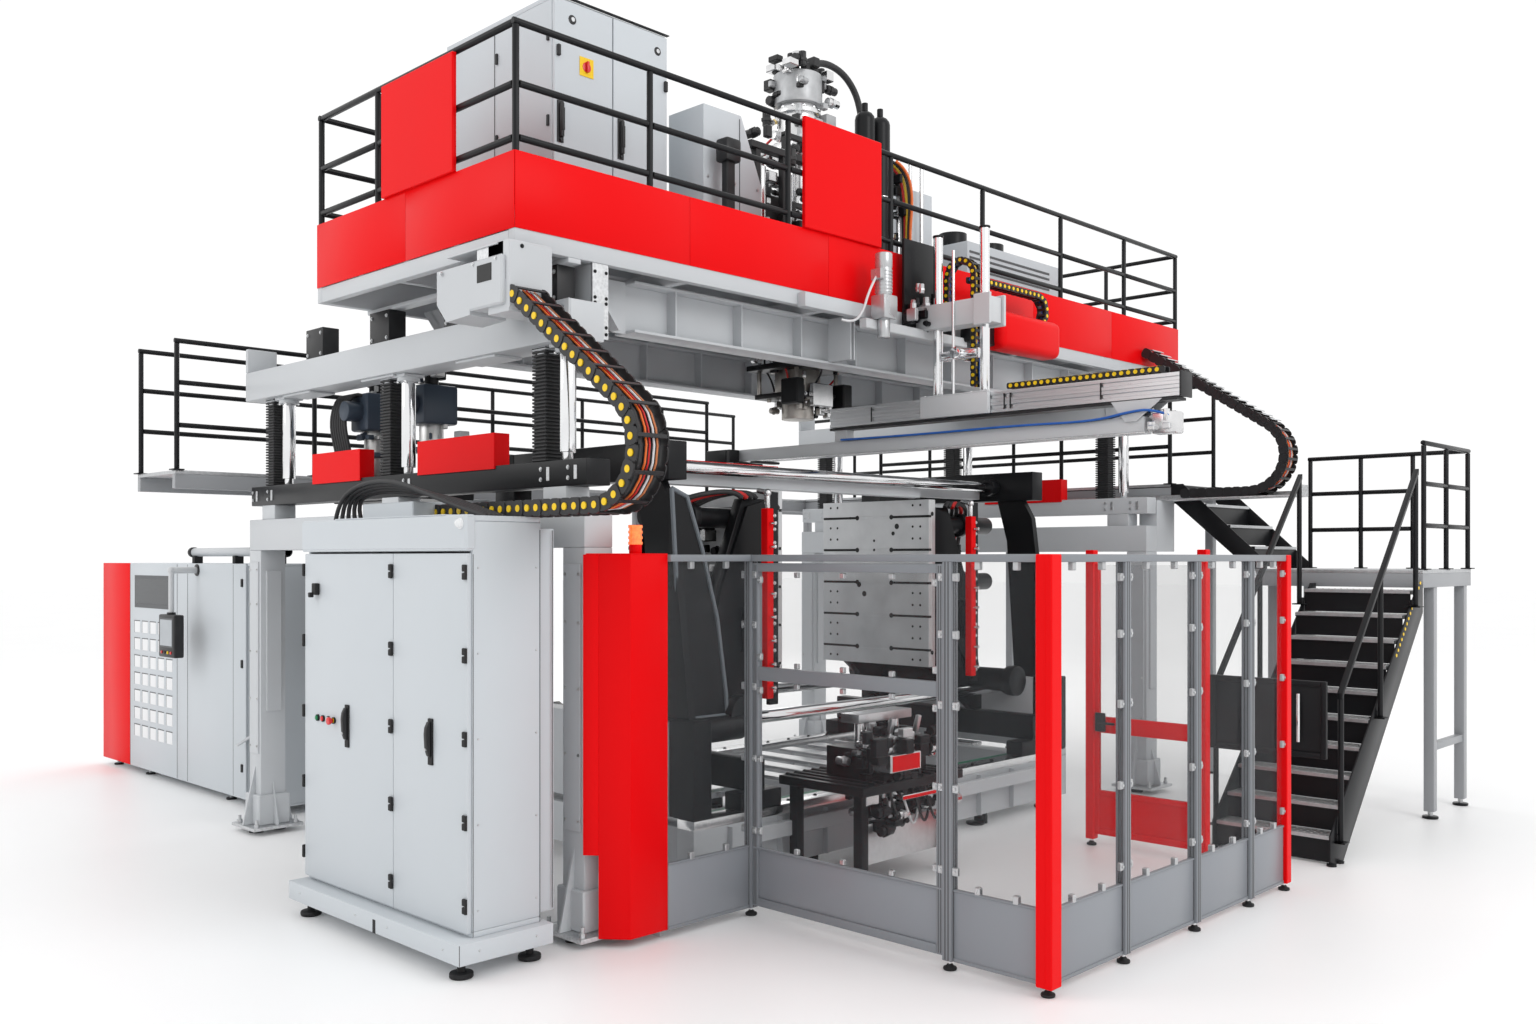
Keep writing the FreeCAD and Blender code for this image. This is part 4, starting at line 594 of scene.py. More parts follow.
rail_radius = 0.020
rails = bmesh.new()
for low, high in boxes("platform_railing"):
    if rail_tube(rails, low, high, 0.021, 0.008) == 2:
        middle = (low + high) / 2
        ball(rails, (middle.x, middle.y, high.z + rail_radius), rail_radius * 1.02, 0)
in_place("platform_guard_rail", rails, [black_paint], "platform", "platform_railing")

# ------------------------------------------------------------------ cabinet on the platform
# A sheet-steel switch cabinet with textured powder coat, two doors with black swing handles on its front,
# lifting eyes on its roof and a main switch on a yellow plate.
cabinet_grey = paint("cabinet_grey_coat", (0.56, 0.595, 0.625), 0.42, 0.05, 0.22)
yellow = paint("signal_yellow", (0.88, 0.58, 0.01), 0.35, 0.06)
low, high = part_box("upper_cabinet")
shell = recast("upper_cabinet", 0.004, lambda a, b: 1 if b.x - a.x < 0.1 and b.y - a.y < 0.1 else 0)


def lever(bm, at, way, up, finish, dish):
    """Swing handle: a long curved grip on a dish, with a round lock below it."""
    at, way, up = Vector(at), Vector(way), Vector(up)
    side = way.cross(up)

    def corner(a, b, c):
        return at + side * a + way * b + up * c

    def block(first, last, edge, index):
        one, two = corner(*first), corner(*last)
        slab(bm, [min(pair) for pair in zip(one, two)], [max(pair) for pair in zip(one, two)], edge, index, 2)

    block((-0.024, 0.0, -0.13), (0.024, 0.008, 0.13), 0.006, dish)
    block((-0.013, 0.008, -0.10), (0.013, 0.034, 0.115), 0.011, finish)
    block((-0.010, 0.030, -0.06), (0.010, 0.042, 0.08), 0.006, finish)
    bar(bm, corner(0, 0.008, -0.115), corner(0, 0.022, -0.115), 0.011, finish, 14, edge=0.002)


front = low.y
hinges = (4.30, 5.30)
lever_z = 4.86
seam_x = (low.x + high.x) / 2
slab(shell, (low.x + 0.004, front - 0.026, 4.12), (seam_x - 0.003, front, 5.63), 0.005)
lever(shell, (low.x + 0.045, front - 0.026, lever_z), (0, -1, 0), (0, 0, 1), 2, 2)
for x in (low.x + 0.14, high.x - 0.09):
    bar(shell, (x, front - 0.030, 5.52), (x, front - 0.012, 5.52), 0.030, 2, 16, edge=0.004)
    bar(shell, (x, front - 0.036, 5.52), (x, front - 0.028, 5.52), 0.014, 1, 12)
for z in hinges:
    slab(shell, (low.x + 0.018, front - 0.046, z - 0.035), (low.x + 0.042, front - 0.024, z + 0.035), 0.004,
         2)
# thin dark strips down the side: painted shade in the panel seams
for y in (low.y + 0.62, low.y + 1.1):
    slab(shell, (low.x - 0.003, y - 0.0025, 4.14), (low.x + 0.001, y + 0.0025, 5.62), 0, 3)
for y in (low.y + 0.03, low.y + 0.59):
    for z in (4.35, 4.87, 5.4):
        slab(shell, (low.x - 0.014, y - 0.010, z - 0.035), (low.x + 0.001, y + 0.010, z + 0.035), 0.003, 2)
slab(shell, (low.x - 0.02, low.y - 0.03, high.z - 0.045), (high.x + 0.015, low.y, high.z - 0.040), 0.001, 2)
# louvre lines on the far face: thin dark strips of painted shade between the blades
for step in range(9):
    slab(shell, (high.x - 0.001, low.y + 0.5, 5.15 + step * 0.035),
         (high.x + 0.004, low.y + 0.9, 5.163 + step * 0.035), 0.001, 3)
slab(shell, (low.x + 0.195, front - 0.030, 5.19), (low.x + 0.305, front - 0.0265, 5.31), 0.004, 4)
in_place("upper_cabinet_shell", shell, [cabinet_grey, zinc, black_plastic, gap_shadow_grey, yellow], "platform",
         "upper_cabinet")
leaf = recast("upper_door", 0.005, lambda a, b: 0 if b.z - a.z > 1 else None)
a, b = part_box("upper_door")
lever(leaf, (a.x + 0.055, b.y - 0.028, lever_z), (0, -1, 0), (0, 0, 1), 1, 1)
for z in hinges:
    slab(leaf, (b.x - 0.030, b.y - 0.046, z - 0.035), (b.x - 0.004, b.y - 0.024, z + 0.035), 0.004, 1)
in_place("upper_door_leaf", leaf, [cabinet_grey, black_plastic], "upper_cabinet_door", "upper_door")
red_plastic = Finish("red_plastic", Coat_Weight=0.4)
red_plastic.set(Base_Color=red_plastic.between(red_plastic.noise(20.0), (0.55, 0.006, 0.008),
                                               (0.80, 0.012, 0.014)),
                Roughness=0.25 + red_plastic.noise(30.0) * 0.15)
rebuilt("main_switch_knob", "main_switch", [red_plastic], "power_switch", 0.005)

# ------------------------------------------------------------------ extruder
# The barrel lies behind the switch cabinet on saddles, in a sloping-topped sheet housing, with its gearbox,
# upright motor, hopper and heater bands. The screw turns inside it.
steel_bright = Finish("bright_steel", Metallic=1.0)
wipe = steel_bright.noise(9.0, 4.0)
steel_bright.set(Base_Color=steel_bright.between(wipe, (0.55, 0.55, 0.56), (0.88, 0.88, 0.88)),
                 Roughness=0.12 + wipe * 0.22)
heater = Finish("heater_band", Metallic=1.0)
heater.set(Base_Color=heater.between(heater.noise(12.0, 5.0), (0.30, 0.27, 0.24), (0.62, 0.60, 0.57)),
           Roughness=0.30 + heater.noise(50.0) * 0.2)
barrel = recast("extruder_barrel", 0.003)
low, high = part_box("extruder_barrel")
axis_y, axis_z = (low.y + high.y) / 2, (low.z + high.z) / 2
for step in range(8):
    x = low.x + 0.42 + step * 0.22
    bar(barrel, (x, axis_y, axis_z), (x + 0.17, axis_y, axis_z), 0.134, 1, 28, edge=0.004)
    slab(barrel, (x + 0.05, axis_y - 0.03, axis_z + 0.125), (x + 0.12, axis_y + 0.03, axis_z + 0.165), 0.004,
         2)
in_place("extruder_barrel_bands", barrel, [steel, heater, black_plastic], "platform", "extruder_barrel")
rebuilt("extruder_screw_bar", "extruder_screw", [steel], "screw", 0.002)
motor = recast("drive_motor", 0.010)
low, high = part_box("drive_motor")
x, y = (low.x + high.x) / 2, (low.y + high.y) / 2
for step in range(24):
    angle = math.radians(15 * step)
    turn = Matrix.Rotation(angle, 4, "Z")
    spot = Vector((x, y, 0)) + Vector((0.156 * math.cos(angle), 0.156 * math.sin(angle), 0))
    slab(motor, (spot.x - 0.012, spot.y - 0.003, high.z - 0.46),
         (spot.x + 0.012, spot.y + 0.003, high.z - 0.12), 0, 0, turn=turn)
bar(motor, (x, y, high.z - 0.10), (x, y, high.z - 0.001), 0.158, 1, 28, edge=0.012)
in_place("extruder_motor", motor, [motor_grey, black_plastic], "platform", "drive_motor")


def fittings(bm, low, high, count, size, kinds):
    """A crowd of small valves, glands, sensors and pipe ends between two corners."""
    for _ in range(count):
        at = Vector([random.uniform(a, b) for a, b in zip(low, high)])
        kind = random.choice(kinds)
        step = random.uniform(0.5, 1.0) * size
        axis = random.choice(((1, 0, 0), (0, 1, 0), (0, 0, 1)))
        if random.random() < 0.45:
            half = Vector([random.uniform(0.35, 1.0) * step for _ in range(3)])
            slab(bm, at - half / 2, at + half / 2, 0.006, kind)
        else:
            end = at + Vector(axis) * step
            bar(bm, at, end, step * 0.28, kind, 10, edge=0.003)
            bar(bm, at + Vector(axis) * step * 0.3, at + Vector(axis) * step * 0.5, step * 0.36, kind, 6)


random.seed(5)
skin_y = -2.45
housing = recast("extruder_housing", 0.006,
                 lambda a, b: 1 if b.z > 5.3 or b.x - a.x < 0.5 else 0)
# two thin dark strips on the skin: painted shade in its seams
slab(housing, (-1.66, skin_y - 0.004, 4.14), (-1.655, skin_y + 0.001, 5.22), 0, 2)
slab(housing, (-1.99, skin_y - 0.004, 4.55), (-1.67, skin_y + 0.001, 4.555), 0, 2)
for x in (-1.96, -1.70, -1.48):
    for z in (4.16, 4.76):
        bolt(housing, (x, skin_y, z), (0, -1, 0), 0.008, 1)
slab(housing, (-1.92, -2.60, 4.10), (-1.84, -2.54, 4.86), 0.008, 3)
slab(housing, (-1.95, -2.63, 4.84), (-1.81, -2.51, 5.00), 0.020, 3, 2)
# the black frame beyond the housing, with its chromed cylinders
for x in (-1.38, -1.10, -0.84):
    slab(housing, (x, -2.34, 4.10), (x + 0.05, -2.29, 5.16), 0.003, 3)
for z in (4.42, 5.11):
    slab(housing, (-1.44, -2.35, z), (-0.79, -2.28, z + 0.05), 0.003, 3)
slab(housing, (-1.40, -2.20, 4.10), (-0.80, -2.00, 4.86), 0.010, 3)
for x in (-1.25, -0.97):
    bar(housing, (x, -2.26, 4.50), (x, -2.26, 5.02), 0.036, 4, 20, edge=0.004)
    bar(housing, (x, -2.26, 4.16), (x, -2.26, 4.50), 0.016, 4, 14)
fittings(housing, (-1.40, -2.34, 4.46), (-0.80, -2.04, 5.30), 44, 0.12, (3, 3, 4, 1))
in_place("extruder_housing_sheets", housing, [cabinet_grey, zinc, gap_shadow_grey, black_plastic, steel_bright],
         "platform", "extruder_housing")

# ------------------------------------------------------------------ accumulator die head
# A tall stack of machined blocks between four columns, with its hydraulic cylinder on top, crowded with
# valves, sensors, small pipes and cable. The tooling hangs below, wrapped in heater bands and red wire.
random.seed(7)
head_x, head_y = -0.33, -1.77
worn_steel = Finish("worn_steel", Metallic=0.55)
worn_steel.set(Base_Color=worn_steel.between(worn_steel.noise(14.0), (0.34, 0.35, 0.36), (0.60, 0.61, 0.62)),
               Roughness=0.34 + worn_steel.noise(30.0) * 0.2)
brass = Finish("brass_fitting", Metallic=1.0)
brass.set(Base_Color=brass.between(brass.noise(20.0), (0.52, 0.38, 0.14), (0.80, 0.62, 0.28)),
          Roughness=0.25 + brass.noise(40.0) * 0.2)
head = recast("die_head", 0.008)
trim = (0, 1, 2, 0, 1, 1, 3)
bar(head, (head_x, head_y, 5.80), (head_x, head_y, 6.05), 0.20, 4, 28, edge=0.010)
fittings(head, (head_x - 0.30, head_y - 0.24, 4.25), (head_x + 0.30, head_y + 0.20, 5.40), 60, 0.12, trim)
fittings(head, (head_x - 0.22, head_y - 0.20, 5.42), (head_x + 0.22, head_y + 0.20, 5.98), 60, 0.14,
         (0, 4, 1, 4, 1, 4, 3))
fittings(head, (head_x - 0.26, head_y - 0.20, 5.92), (head_x + 0.20, head_y + 0.16, 6.14), 34, 0.13,
         (0, 4, 1, 1))
bar(head, (head_x, head_y, 5.44), (head_x, head_y, 5.80), 0.165, 0, 28, edge=0.010)
bar(head, (head_x, head_y, 5.72), (head_x, head_y, 5.76), 0.190, 0, 28, edge=0.006)
for turn in range(12):
    angle = math.radians(30 * turn)
    bolt(head, (head_x + 0.175 * math.cos(angle), head_y + 0.175 * math.sin(angle), 5.76), (0, 0, 1), 0.012,
         0, 0.012)
for x in (head_x - 0.32, head_x - 0.40):
    bar(head, (x, head_y - 0.22, 4.45), (x, head_y - 0.22, 5.25), 0.028, 0, 16, edge=0.004)
for x in (head_x - 0.48, head_x - 0.24, head_x + 0.24):
    slab(head, (x - 0.02, head_y - 0.33, 4.11), (x + 0.02, head_y - 0.29, 5.40), 0.003, 1)
for z in (4.30, 4.86, 5.38):
    slab(head, (head_x - 0.50, head_y - 0.33, z), (head_x + 0.26, head_y - 0.29, z + 0.04), 0.003, 1)
in_place("die_head_stack", head, [steel_bright, black_plastic, zinc, brass, worn_steel], "platform",
         "die_head")

tooling = recast("die_tooling", 0.006,
                 lambda a, b: 2 if b.x - a.x > 0.5 else (1 if b.z - a.z > 0.15 else 0))
fittings(tooling, (head_x - 0.27, head_y - 0.27, 3.66), (head_x + 0.27, head_y + 0.25, 3.84), 46, 0.09,
         (0, 0, 1, 2, 2))
fittings(tooling, (head_x - 0.24, head_y - 0.23, 3.32), (head_x + 0.24, head_y + 0.22, 3.62), 60, 0.09,
         (0, 0, 1, 2))
slab(tooling, (head_x - 0.33, head_y - 0.30, 3.36), (head_x - 0.24, head_y - 0.12, 3.56), 0.010, 2)
slab(tooling, (head_x + 0.20, head_y - 0.32, 3.34), (head_x + 0.31, head_y - 0.14, 3.55), 0.010, 2)
slab(tooling, (head_x - 0.10, head_y - 0.27, 3.36), (head_x + 0.13, head_y - 0.22, 3.54), 0.006, 0)
for step in range(9):
    bolt(tooling, (head_x - 0.22 + step * 0.055, head_y - 0.236, 3.45), (0, -1, 0), 0.010, 0, 0.014)
in_place("die_tooling_stack", tooling, [steel_bright, heater, black_paint], "platform", "die_tooling")


def wire_finish(name, colour):
    finish = Finish(name)
    finish.set(Base_Color=finish.between(finish.noise(30.0), shade(colour, 0.8), colour),
               Roughness=0.32 + finish.noise(12.0) * 0.2)
    return finish


red_wire = wire_finish("red_wire", (0.65, 0.012, 0.010))
orange_wire = wire_finish("orange_cable", (0.85, 0.16, 0.015))
blue_wire = wire_finish("blue_cable", (0.015, 0.13, 0.52))
yellow_wire = wire_finish("yellow_cable", (0.85, 0.55, 0.02))
white_wire = wire_finish("white_cable", (0.72, 0.73, 0.74))
for place in range(6):
    angle = math.radians(60 * place + 15)
    out = Vector((math.cos(angle), math.sin(angle), 0))
    at = Vector((head_x, head_y, 0))
    route = [at + out * 0.10 + Vector((0, 0, 3.86)), at + out * 0.26 + Vector((0, 0, 3.82)),
             at + out * 0.31 + Vector((0.05, 0, 3.70)), at + out * 0.25 + Vector((0.07, 0, 3.58)),
             at + out * 0.19 + Vector((0, 0, 3.50))]
    cable(f"tooling_wire_{place}", route, 0.008, red_wire if place % 2 else rubber, "platform")
    route = [at + out * 0.12 + Vector((0, 0, 5.60)), at + out * 0.30 + Vector((0, 0, 5.52)),
             at + out * 0.27 + Vector((0, 0, 5.25)), at + out * 0.30 + Vector((0.02, 0, 4.90)),
             at + out * 0.22 + Vector((0, 0, 4.60))]
    cable(f"head_wire_{place}", route, 0.010, (rubber, rubber, red_wire, rubber, blue_wire, rubber)[place],
          "platform")

# fat black hose that arches from the head over to the hydraulic unit, held by crimped end fittings
hose_route = ((90, 0), (90, 90), (160, 195), (330, 262), (550, 240), (710, 130), (785, -20), (812, -190),
              (820, -420), (820, -650))
arch = cable("hose_arch_rubber", [(head_x + x / 1000, head_y, 6.0 + z / 1000) for x, z in hose_route], 0.028,
             rubber, "platform", 6)
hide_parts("hose_arch")

# ------------------------------------------------------------------ hydraulic units
# Black accumulator bottles with domed ends stand in a clamp beside the head; behind them are grey sheet
# cabinets with their pumps, valve blocks, pipes and cable bundles.
units = recast("hydraulic_units", 0.008,
               lambda a, b: (None if b.x - a.x < 0.2 and a.y < -1.99 else 1) if b.x - a.x < 0.4 else 0)
for place in range(2):
    x = 0.14 + place * 0.196
    y = -2.085
    bar(units, (x, y, 4.30), (x, y, 5.74), 0.084, 1, 24)
    ball(units, (x, y, 5.74), 0.084, 1, 0.9, 20)
    ball(units, (x, y, 4.30), 0.084, 1, 0.9, 20)
    bar(units, (x, y, 5.80), (x, y, 5.88), 0.026, 1, 14, edge=0.004)
    for z in (4.6, 5.1):
        bar(units, (x, y, z), (x, y, z + 0.04), 0.089, 2, 24)
fittings(units, (0.02, -2.18, 4.20), (0.45, -2.02, 4.50), 30, 0.11, (1, 2, 2))
fittings(units, (0.42, -2.20, 4.15), (0.56, -2.04, 5.35), 34, 0.10, (1, 2, 1))
for x in (0.62, 0.78, 0.94):
    bar(units, (x, -2.05, 4.12), (x, -2.05, 5.55), 0.020, 2, 12)
# louvre lines and a seam: thin dark strips of painted shade
for step in range(10):
    slab(units, (1.40 + 0.001, -2.234, 4.40 + 0.05 * step), (2.70, -2.229, 4.42 + 0.05 * step), 0.001, 3)
slab(units, (0.139, -1.984, 4.12), (0.142, -1.979, 5.33), 0, 3)
in_place("hydraulic_cabinets", units, [cabinet_grey, black_paint, steel_bright, gap_shadow_grey], "platform",
         "hydraulic_units")
for place, finish in enumerate((orange_wire, rubber, yellow_wire, red_wire, rubber, white_wire)):
    y = -2.28 + place * 0.030
    route = [(0.50, y, 4.12), (0.52, y, 4.40), (0.48 + 0.02 * place, y, 4.80), (0.53, y, 5.15),
             (0.49, y + 0.03, 5.38), (0.40, y + 0.08, 5.44)]
    cable(f"unit_cable_{place}", route, 0.012, finish, "platform")

# ------------------------------------------------------------------ clamp base and tie bars
# A long welded base on levelling feet carries ground rails and the white cross beam; four chromed tie
# bars run through it from end frame to end frame.
base = recast("machine_base", 0.006,
              lambda a, b: 1 if b.x - a.x > 3 and b.z < 0.50 and a.z > 0.40 else
              (2 if b.z < 0.12 else ((None if a.y < -2.8 else 3) if b.z > 2 else 0)))
low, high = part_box("machine_base")
cheek = [(0.02, 2.60), (0.15, 2.55), (0.28, 2.22), (0.42, 1.75), (0.50, 1.25), (0.51, 1.10), (0.18, 1.10),
         (0.08, 1.70)]
cheek = [(low.x + x, -2.668, z) for x, z in cheek]
plate(base, cheek, (0, 0.05, 0), 3)
for a, b in zip(cheek, cheek[1:] + cheek[:1]):
    bar(base, a, b, 0.015, 6, 8)
bar(base, (low.x + 0.05, -2.70, 1.02), (low.x + 0.60, -2.70, 1.02), 0.085, 3, 24, edge=0.008)
for x in (low.x, high.x - 0.16):
    slab(base, (x, low.y, 0.49), (x + 0.16, low.y + 0.24, 1.12), 0.008, 3)
    plate(base, [(x + 0.05, low.y + 0.10, 1.10), (x + 0.05, -2.62, 2.50), (x + 0.05, -2.40, 2.88),
                 (x + 0.05, -2.20, 2.88), (x + 0.05, -2.36, 2.30), (x + 0.05, -2.44, 1.10)], (0.06, 0, 0), 3)
for y in (low.y, high.y - 0.16):
    for step in range(16):
        bolt(base, (low.x + 0.14 + step * 0.27, y + 0.08, 0.49), (0, 0, 1), 0.011, 2, 0.010)
    for step in range(5):
        x = low.x + 0.15 + step * 1.0
        bar(base, (x, y + 0.08, 0), (x, y + 0.08, 0.022), 0.075, 2, 20, edge=0.006)
    # levelling ribs and a cable duct along the side of the beam
    for step in range(9):
        x = low.x + 0.3 + step * 0.46
        slab(base, (x - 0.005, y - 0.045, 0.10), (x + 0.005, y, 0.42), 0.001)
slab(base, (low.x + 0.5, low.y - 0.10, 0.30), (high.x - 0.5, low.y - 0.05, 0.40), 0.004)
slab(base, (low.x + 0.12, -2.19, 2.66), (0.75, -2.10, 2.79), 0.006)
slab(base, (-0.44, -2.10, 2.68), (high.x, -2.00, 2.835), 0.006)
slab(base, (low.x + 0.3, -2.10, 2.835), (-0.9, -2.00, 2.847), 0.003, 4)
for step in range(10):
    slab(base, (-1.8 + step * 0.35, -2.30, 0.50), (-1.66 + step * 0.35, -1.3, 0.53), 0.004, 1)
slab(base, (low.x + 0.2, -2.62, 0.44), (high.x - 0.2, -2.56, 0.455), 0.002, 5)
green_belt = wire_finish("green_belt", (0.02, 0.22, 0.12))
in_place("clamp_base", base, [frame_grey, steel_bright, black_paint, black_paint, red_paint, green_belt,
                              motor_grey],
         "line_frame", "machine_base")
bars = recast("tie_bars", 0.003)
for low, high in boxes("tie_bars"):
    y, z = (low.y + high.y) / 2, (low.z + high.z) / 2
    for start, end in ((low.x, low.x + 0.10), (high.x - 0.10, high.x)):
        bar(bars, (start, y, z), (end, y, z), 0.075, 1, 8, edge=0.006)
in_place("tie_bars_chromed", bars, [chrome, black_paint], "line_frame", "tie_bars")

# ------------------------------------------------------------------ platens
# Thick steel plates with a hand-ground face. Short T-slots with a round mouth run in from each side, and
# tapped holes in rows take the mould's clamps.
ground_steel = Finish("ground_steel", Metallic=0.75)
grain = ground_steel.noise(5.0, 4.0)
ground_steel.set(Base_Color=ground_steel.between(grain, (0.52, 0.53, 0.54), (0.78, 0.79, 0.80)),
                 Roughness=0.26 + grain * 0.2)
# painted shade: near-black for holes, slot ends and open windows, standing for the shade that fills them
hole_shade_black = Finish("hole_shade_black")
hole_shade_black.set(Base_Color=hole_shade_black.between(hole_shade_black.noise(40.0), (0.006, 0.006, 0.006),
                                             (0.02, 0.02, 0.02)),
               Roughness=0.5 + hole_shade_black.noise(40.0) * 0.2)
for side, word in ((1, "left"), (-1, "right")):
    low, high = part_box(f"platen_{word}")
    face = high.x if side > 0 else low.x
    back = low.x if side > 0 else high.x
    plate_mesh = bmesh.new()

    def layer(start, end, y0, y1, z0, z1, edge=0.002, finish=0):
        """A block between two depths behind the platen's face."""
        a, b = face - side * start, face - side * end
        slab(plate_mesh, (min(a, b), y0, z0), (max(a, b), y1, z1), edge, finish)

    slot_deep = 0.036
    layer(slot_deep, abs(back - face), low.y, high.y, low.z, high.z, 0.004)
    rise = (high.z - low.z) / 5
    half = 0.010
    inset = 0.40
    edges = [low.z] + [low.z + (place + 0.5) * rise for place in range(5)] + [high.z]
    for place in range(6):
        z0 = edges[place] + (half if place else 0)
        z1 = edges[place + 1] - (half if place < 5 else 0)
        layer(0.0, slot_deep, low.y, high.y, z0, z1, 0.0015)
    for z in edges[1:-1]:
        layer(0.0, slot_deep, low.y + inset, high.y - inset, z - half, z + half, 0)
        # slot ends sunk 6 mm and coloured near-black: painted shade for the deep slot
        layer(0.006, slot_deep, low.y + 0.001, low.y + inset, z - half, z + half, 0, 1)
        layer(0.006, slot_deep, high.y - inset, high.y - 0.001, z - half, z + half, 0, 1)
        # round mouths and tapped holes are near-black discs standing just proud of the face: painted shade in
        # the holes
        for y in (low.y + inset, high.y - inset):
            bar(plate_mesh, (face - side * slot_deep, y, z), (face + side * 0.0006, y, z), 0.021, 1, 16)
        for y in (low.y + 0.09, low.y + 0.17, high.y - 0.17, high.y - 0.09):
            for drop in (-0.085, 0.095):
                bar(plate_mesh, (face - side * 0.03, y, z + drop), (face + side * 0.0005, y, z + drop),
                    0.011, 1, 10)
    # more holes, as near-black discs of painted shade
    for y, z, radius in ((-1.77, 2.30, 0.012), (-1.77, 2.22, 0.012), (-1.77, 2.14, 0.012),
                         (-1.60, 1.92, 0.024),
                         (-1.66, 1.84, 0.024), (-2.02, 2.42, 0.024), (-1.98, 2.36, 0.018),
                         (-1.50, 2.50, 0.012)):
        bar(plate_mesh, (face - side * 0.03, y, z), (face + side * 0.0005, y, z), radius, 1, 14)
    for z in (low.z + 0.12, high.z - 0.12):
        bolt(plate_mesh, ((face + back) / 2, low.y, z), (0, -1, 0), 0.012, 1)
    in_place(f"platen_{word}_plate", plate_mesh, [ground_steel, hole_shade_black], f"{word}_clamp",
             f"platen_{word}")

    # ---- black backing frame of the same platen, with its red water manifolds, elbows and hoses
    arms = recast(f"clamp_arms_{word}", 0.008,
                  lambda a, b: (2 if b.y - a.y < 0.06 and b.z - a.z < 0.03 else
                                (None if b.x - a.x < 0.06 and b.z - a.z > 1 else 0)))
    pipes = [(a, b) for a, b in boxes(f"clamp_arms_{word}") if b.x - a.x < 0.06 and b.z - a.z > 1]
    for a, b in pipes:
        slab(arms, (a.x - 0.004, a.y - 0.004, a.z), (b.x + 0.004, b.y + 0.004, b.z), 0.004, 1)
        x, y = (a.x + b.x) / 2, (a.y + b.y) / 2
        slab(arms, (x + 0.03, y + 0.005, a.z - 0.05), (x + 0.12, y + 0.045, b.z + 0.12), 0.005, 0)
        bar(arms, (x, y, b.z), (x, y, b.z + 0.10), 0.020, 2, 14, edge=0.003)
        ball(arms, (x, y, b.z + 0.11), 0.030, 2)
        bar(arms, (x, y, b.z + 0.11), (x, y + 0.09, b.z + 0.13), 0.019, 2, 14)
        for step in range(14):
            z = a.z + 0.05 + step * (b.z - a.z - 0.1) / 13
            bar(arms, (x + 0.02, y - 0.01, z), (x + 0.060, y - 0.01, z), 0.011, 2, 10, edge=0.002)
            ball(arms, (x + 0.062, y - 0.01, z), 0.013, 3, 1.0, 8)
    low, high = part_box(f"clamp_arms_{word}")
    out = -side
    # tapered cheek plates with a raised rim, pivot drum and the cylinder between them
    for y in (low.y + 0.57, high.y - 0.60):
        cheek = [(back, y, 2.58), (back + out * 0.24, y, 2.52), (back + out * 0.50, y, 1.92),
                 (back + out * 0.70, y, 1.10),
                 (back + out * 0.62, y, 1.06), (back + out * 0.30, y, 1.50), (back, y, 1.40)]
        plate(arms, cheek, (0, 0.026, 0), 0)
    y0, y1 = low.y + 0.22, high.y - 0.22
    bar(arms, (back + out * 0.66, y0, 1.10), (back + out * 0.66, y1, 1.10), 0.10, 0, 24, edge=0.008)
    bar(arms, (back + out * 0.66, y0 - 0.06, 1.10), (back + out * 0.66, y0 + 0.03, 1.10), 0.13, 0, 24,
        edge=0.008)
    fittings(arms, (min(back + out * 0.15, back + out * 0.55), -2.2, 1.35),
             (max(back + out * 0.15, back + out * 0.55), -1.3, 2.45), 46, 0.13, (0, 0, 2, 0))
    for z in (2.44, 1.94):
        bar(arms, (back + out * 0.02, -2.14, z), (back + out * 1.05, -2.14, z), 0.075, 0, 24, edge=0.006)
        bar(arms, (back + out * 0.60, -2.14, z), (back + out * 0.66, -2.14, z), 0.105, 0, 24, edge=0.006)
    in_place(f"clamp_arms_{word}_frame", arms, [black_paint, red_paint, steel_bright, white_wire],
             f"{word}_clamp", f"clamp_arms_{word}")
    for place in range(4):
        x = back + out * (0.16 + 0.05 * place)
        reach = back + out * (0.50 + 0.07 * place)
        route = [(x, -2.34, 2.58), (x + out * 0.05, -2.33, 2.64), (reach, -2.18, 2.58),
                 (reach + out * 0.10, -2.04, 2.45), (reach + out * 0.06, -2.00, 2.15),
                 (reach - out * 0.02, -2.00, 1.75), (reach - out * 0.10, -2.00, 1.35)]
        cable(f"clamp_hose_{word}_{place}", route, 0.019, rubber if place != 2 else red_wire, f"{word}_clamp")

# ------------------------------------------------------------------ deflashing station
# An aluminium stand with a belt and rollers under a case, and a gripper head with red reflecting plates,
# cylinders and loops of small hose.
aluminium = Finish("anodised_aluminium", Metallic=1.0)
draw = aluminium.noise(26.0, 3.0, (1, 0.02, 1))
aluminium.set(Base_Color=aluminium.between(draw, (0.58, 0.59, 0.60), (0.80, 0.81, 0.82)),
              Roughness=0.26 + draw * 0.16)
station = recast("takeout_line", 0.005,
                 lambda a, b: 2 if b.x - a.x < 0.08 and a.z > 0.8 else
                 (0 if a.z > 1 or b.y - a.y < 0.02 else 1))
low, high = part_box("takeout_line")
bench = low + Vector((0, 0, 0.70))
fittings(station, bench + Vector((0.10, 0.00, -0.34)), bench + Vector((0.95, 0.30, 0.34)), 120, 0.14,
         (1, 1, 2, 1, 0))
slab(station, bench + Vector((0.26, -0.01, 0.06)), bench + Vector((0.58, 0.16, 0.18)), 0.006, 2)
slab(station, bench + Vector((0.28, -0.014, 0.07)), bench + Vector((0.56, -0.009, 0.17)), 0.001, 3)
slab(station, bench + Vector((0.36, -0.03, -0.12)), bench + Vector((0.76, 0.14, -0.09)), 0.004, 2)
slab(station, bench + Vector((0.36, -0.034, -0.115)), bench + Vector((0.76, -0.029, -0.095)), 0.001, 3)
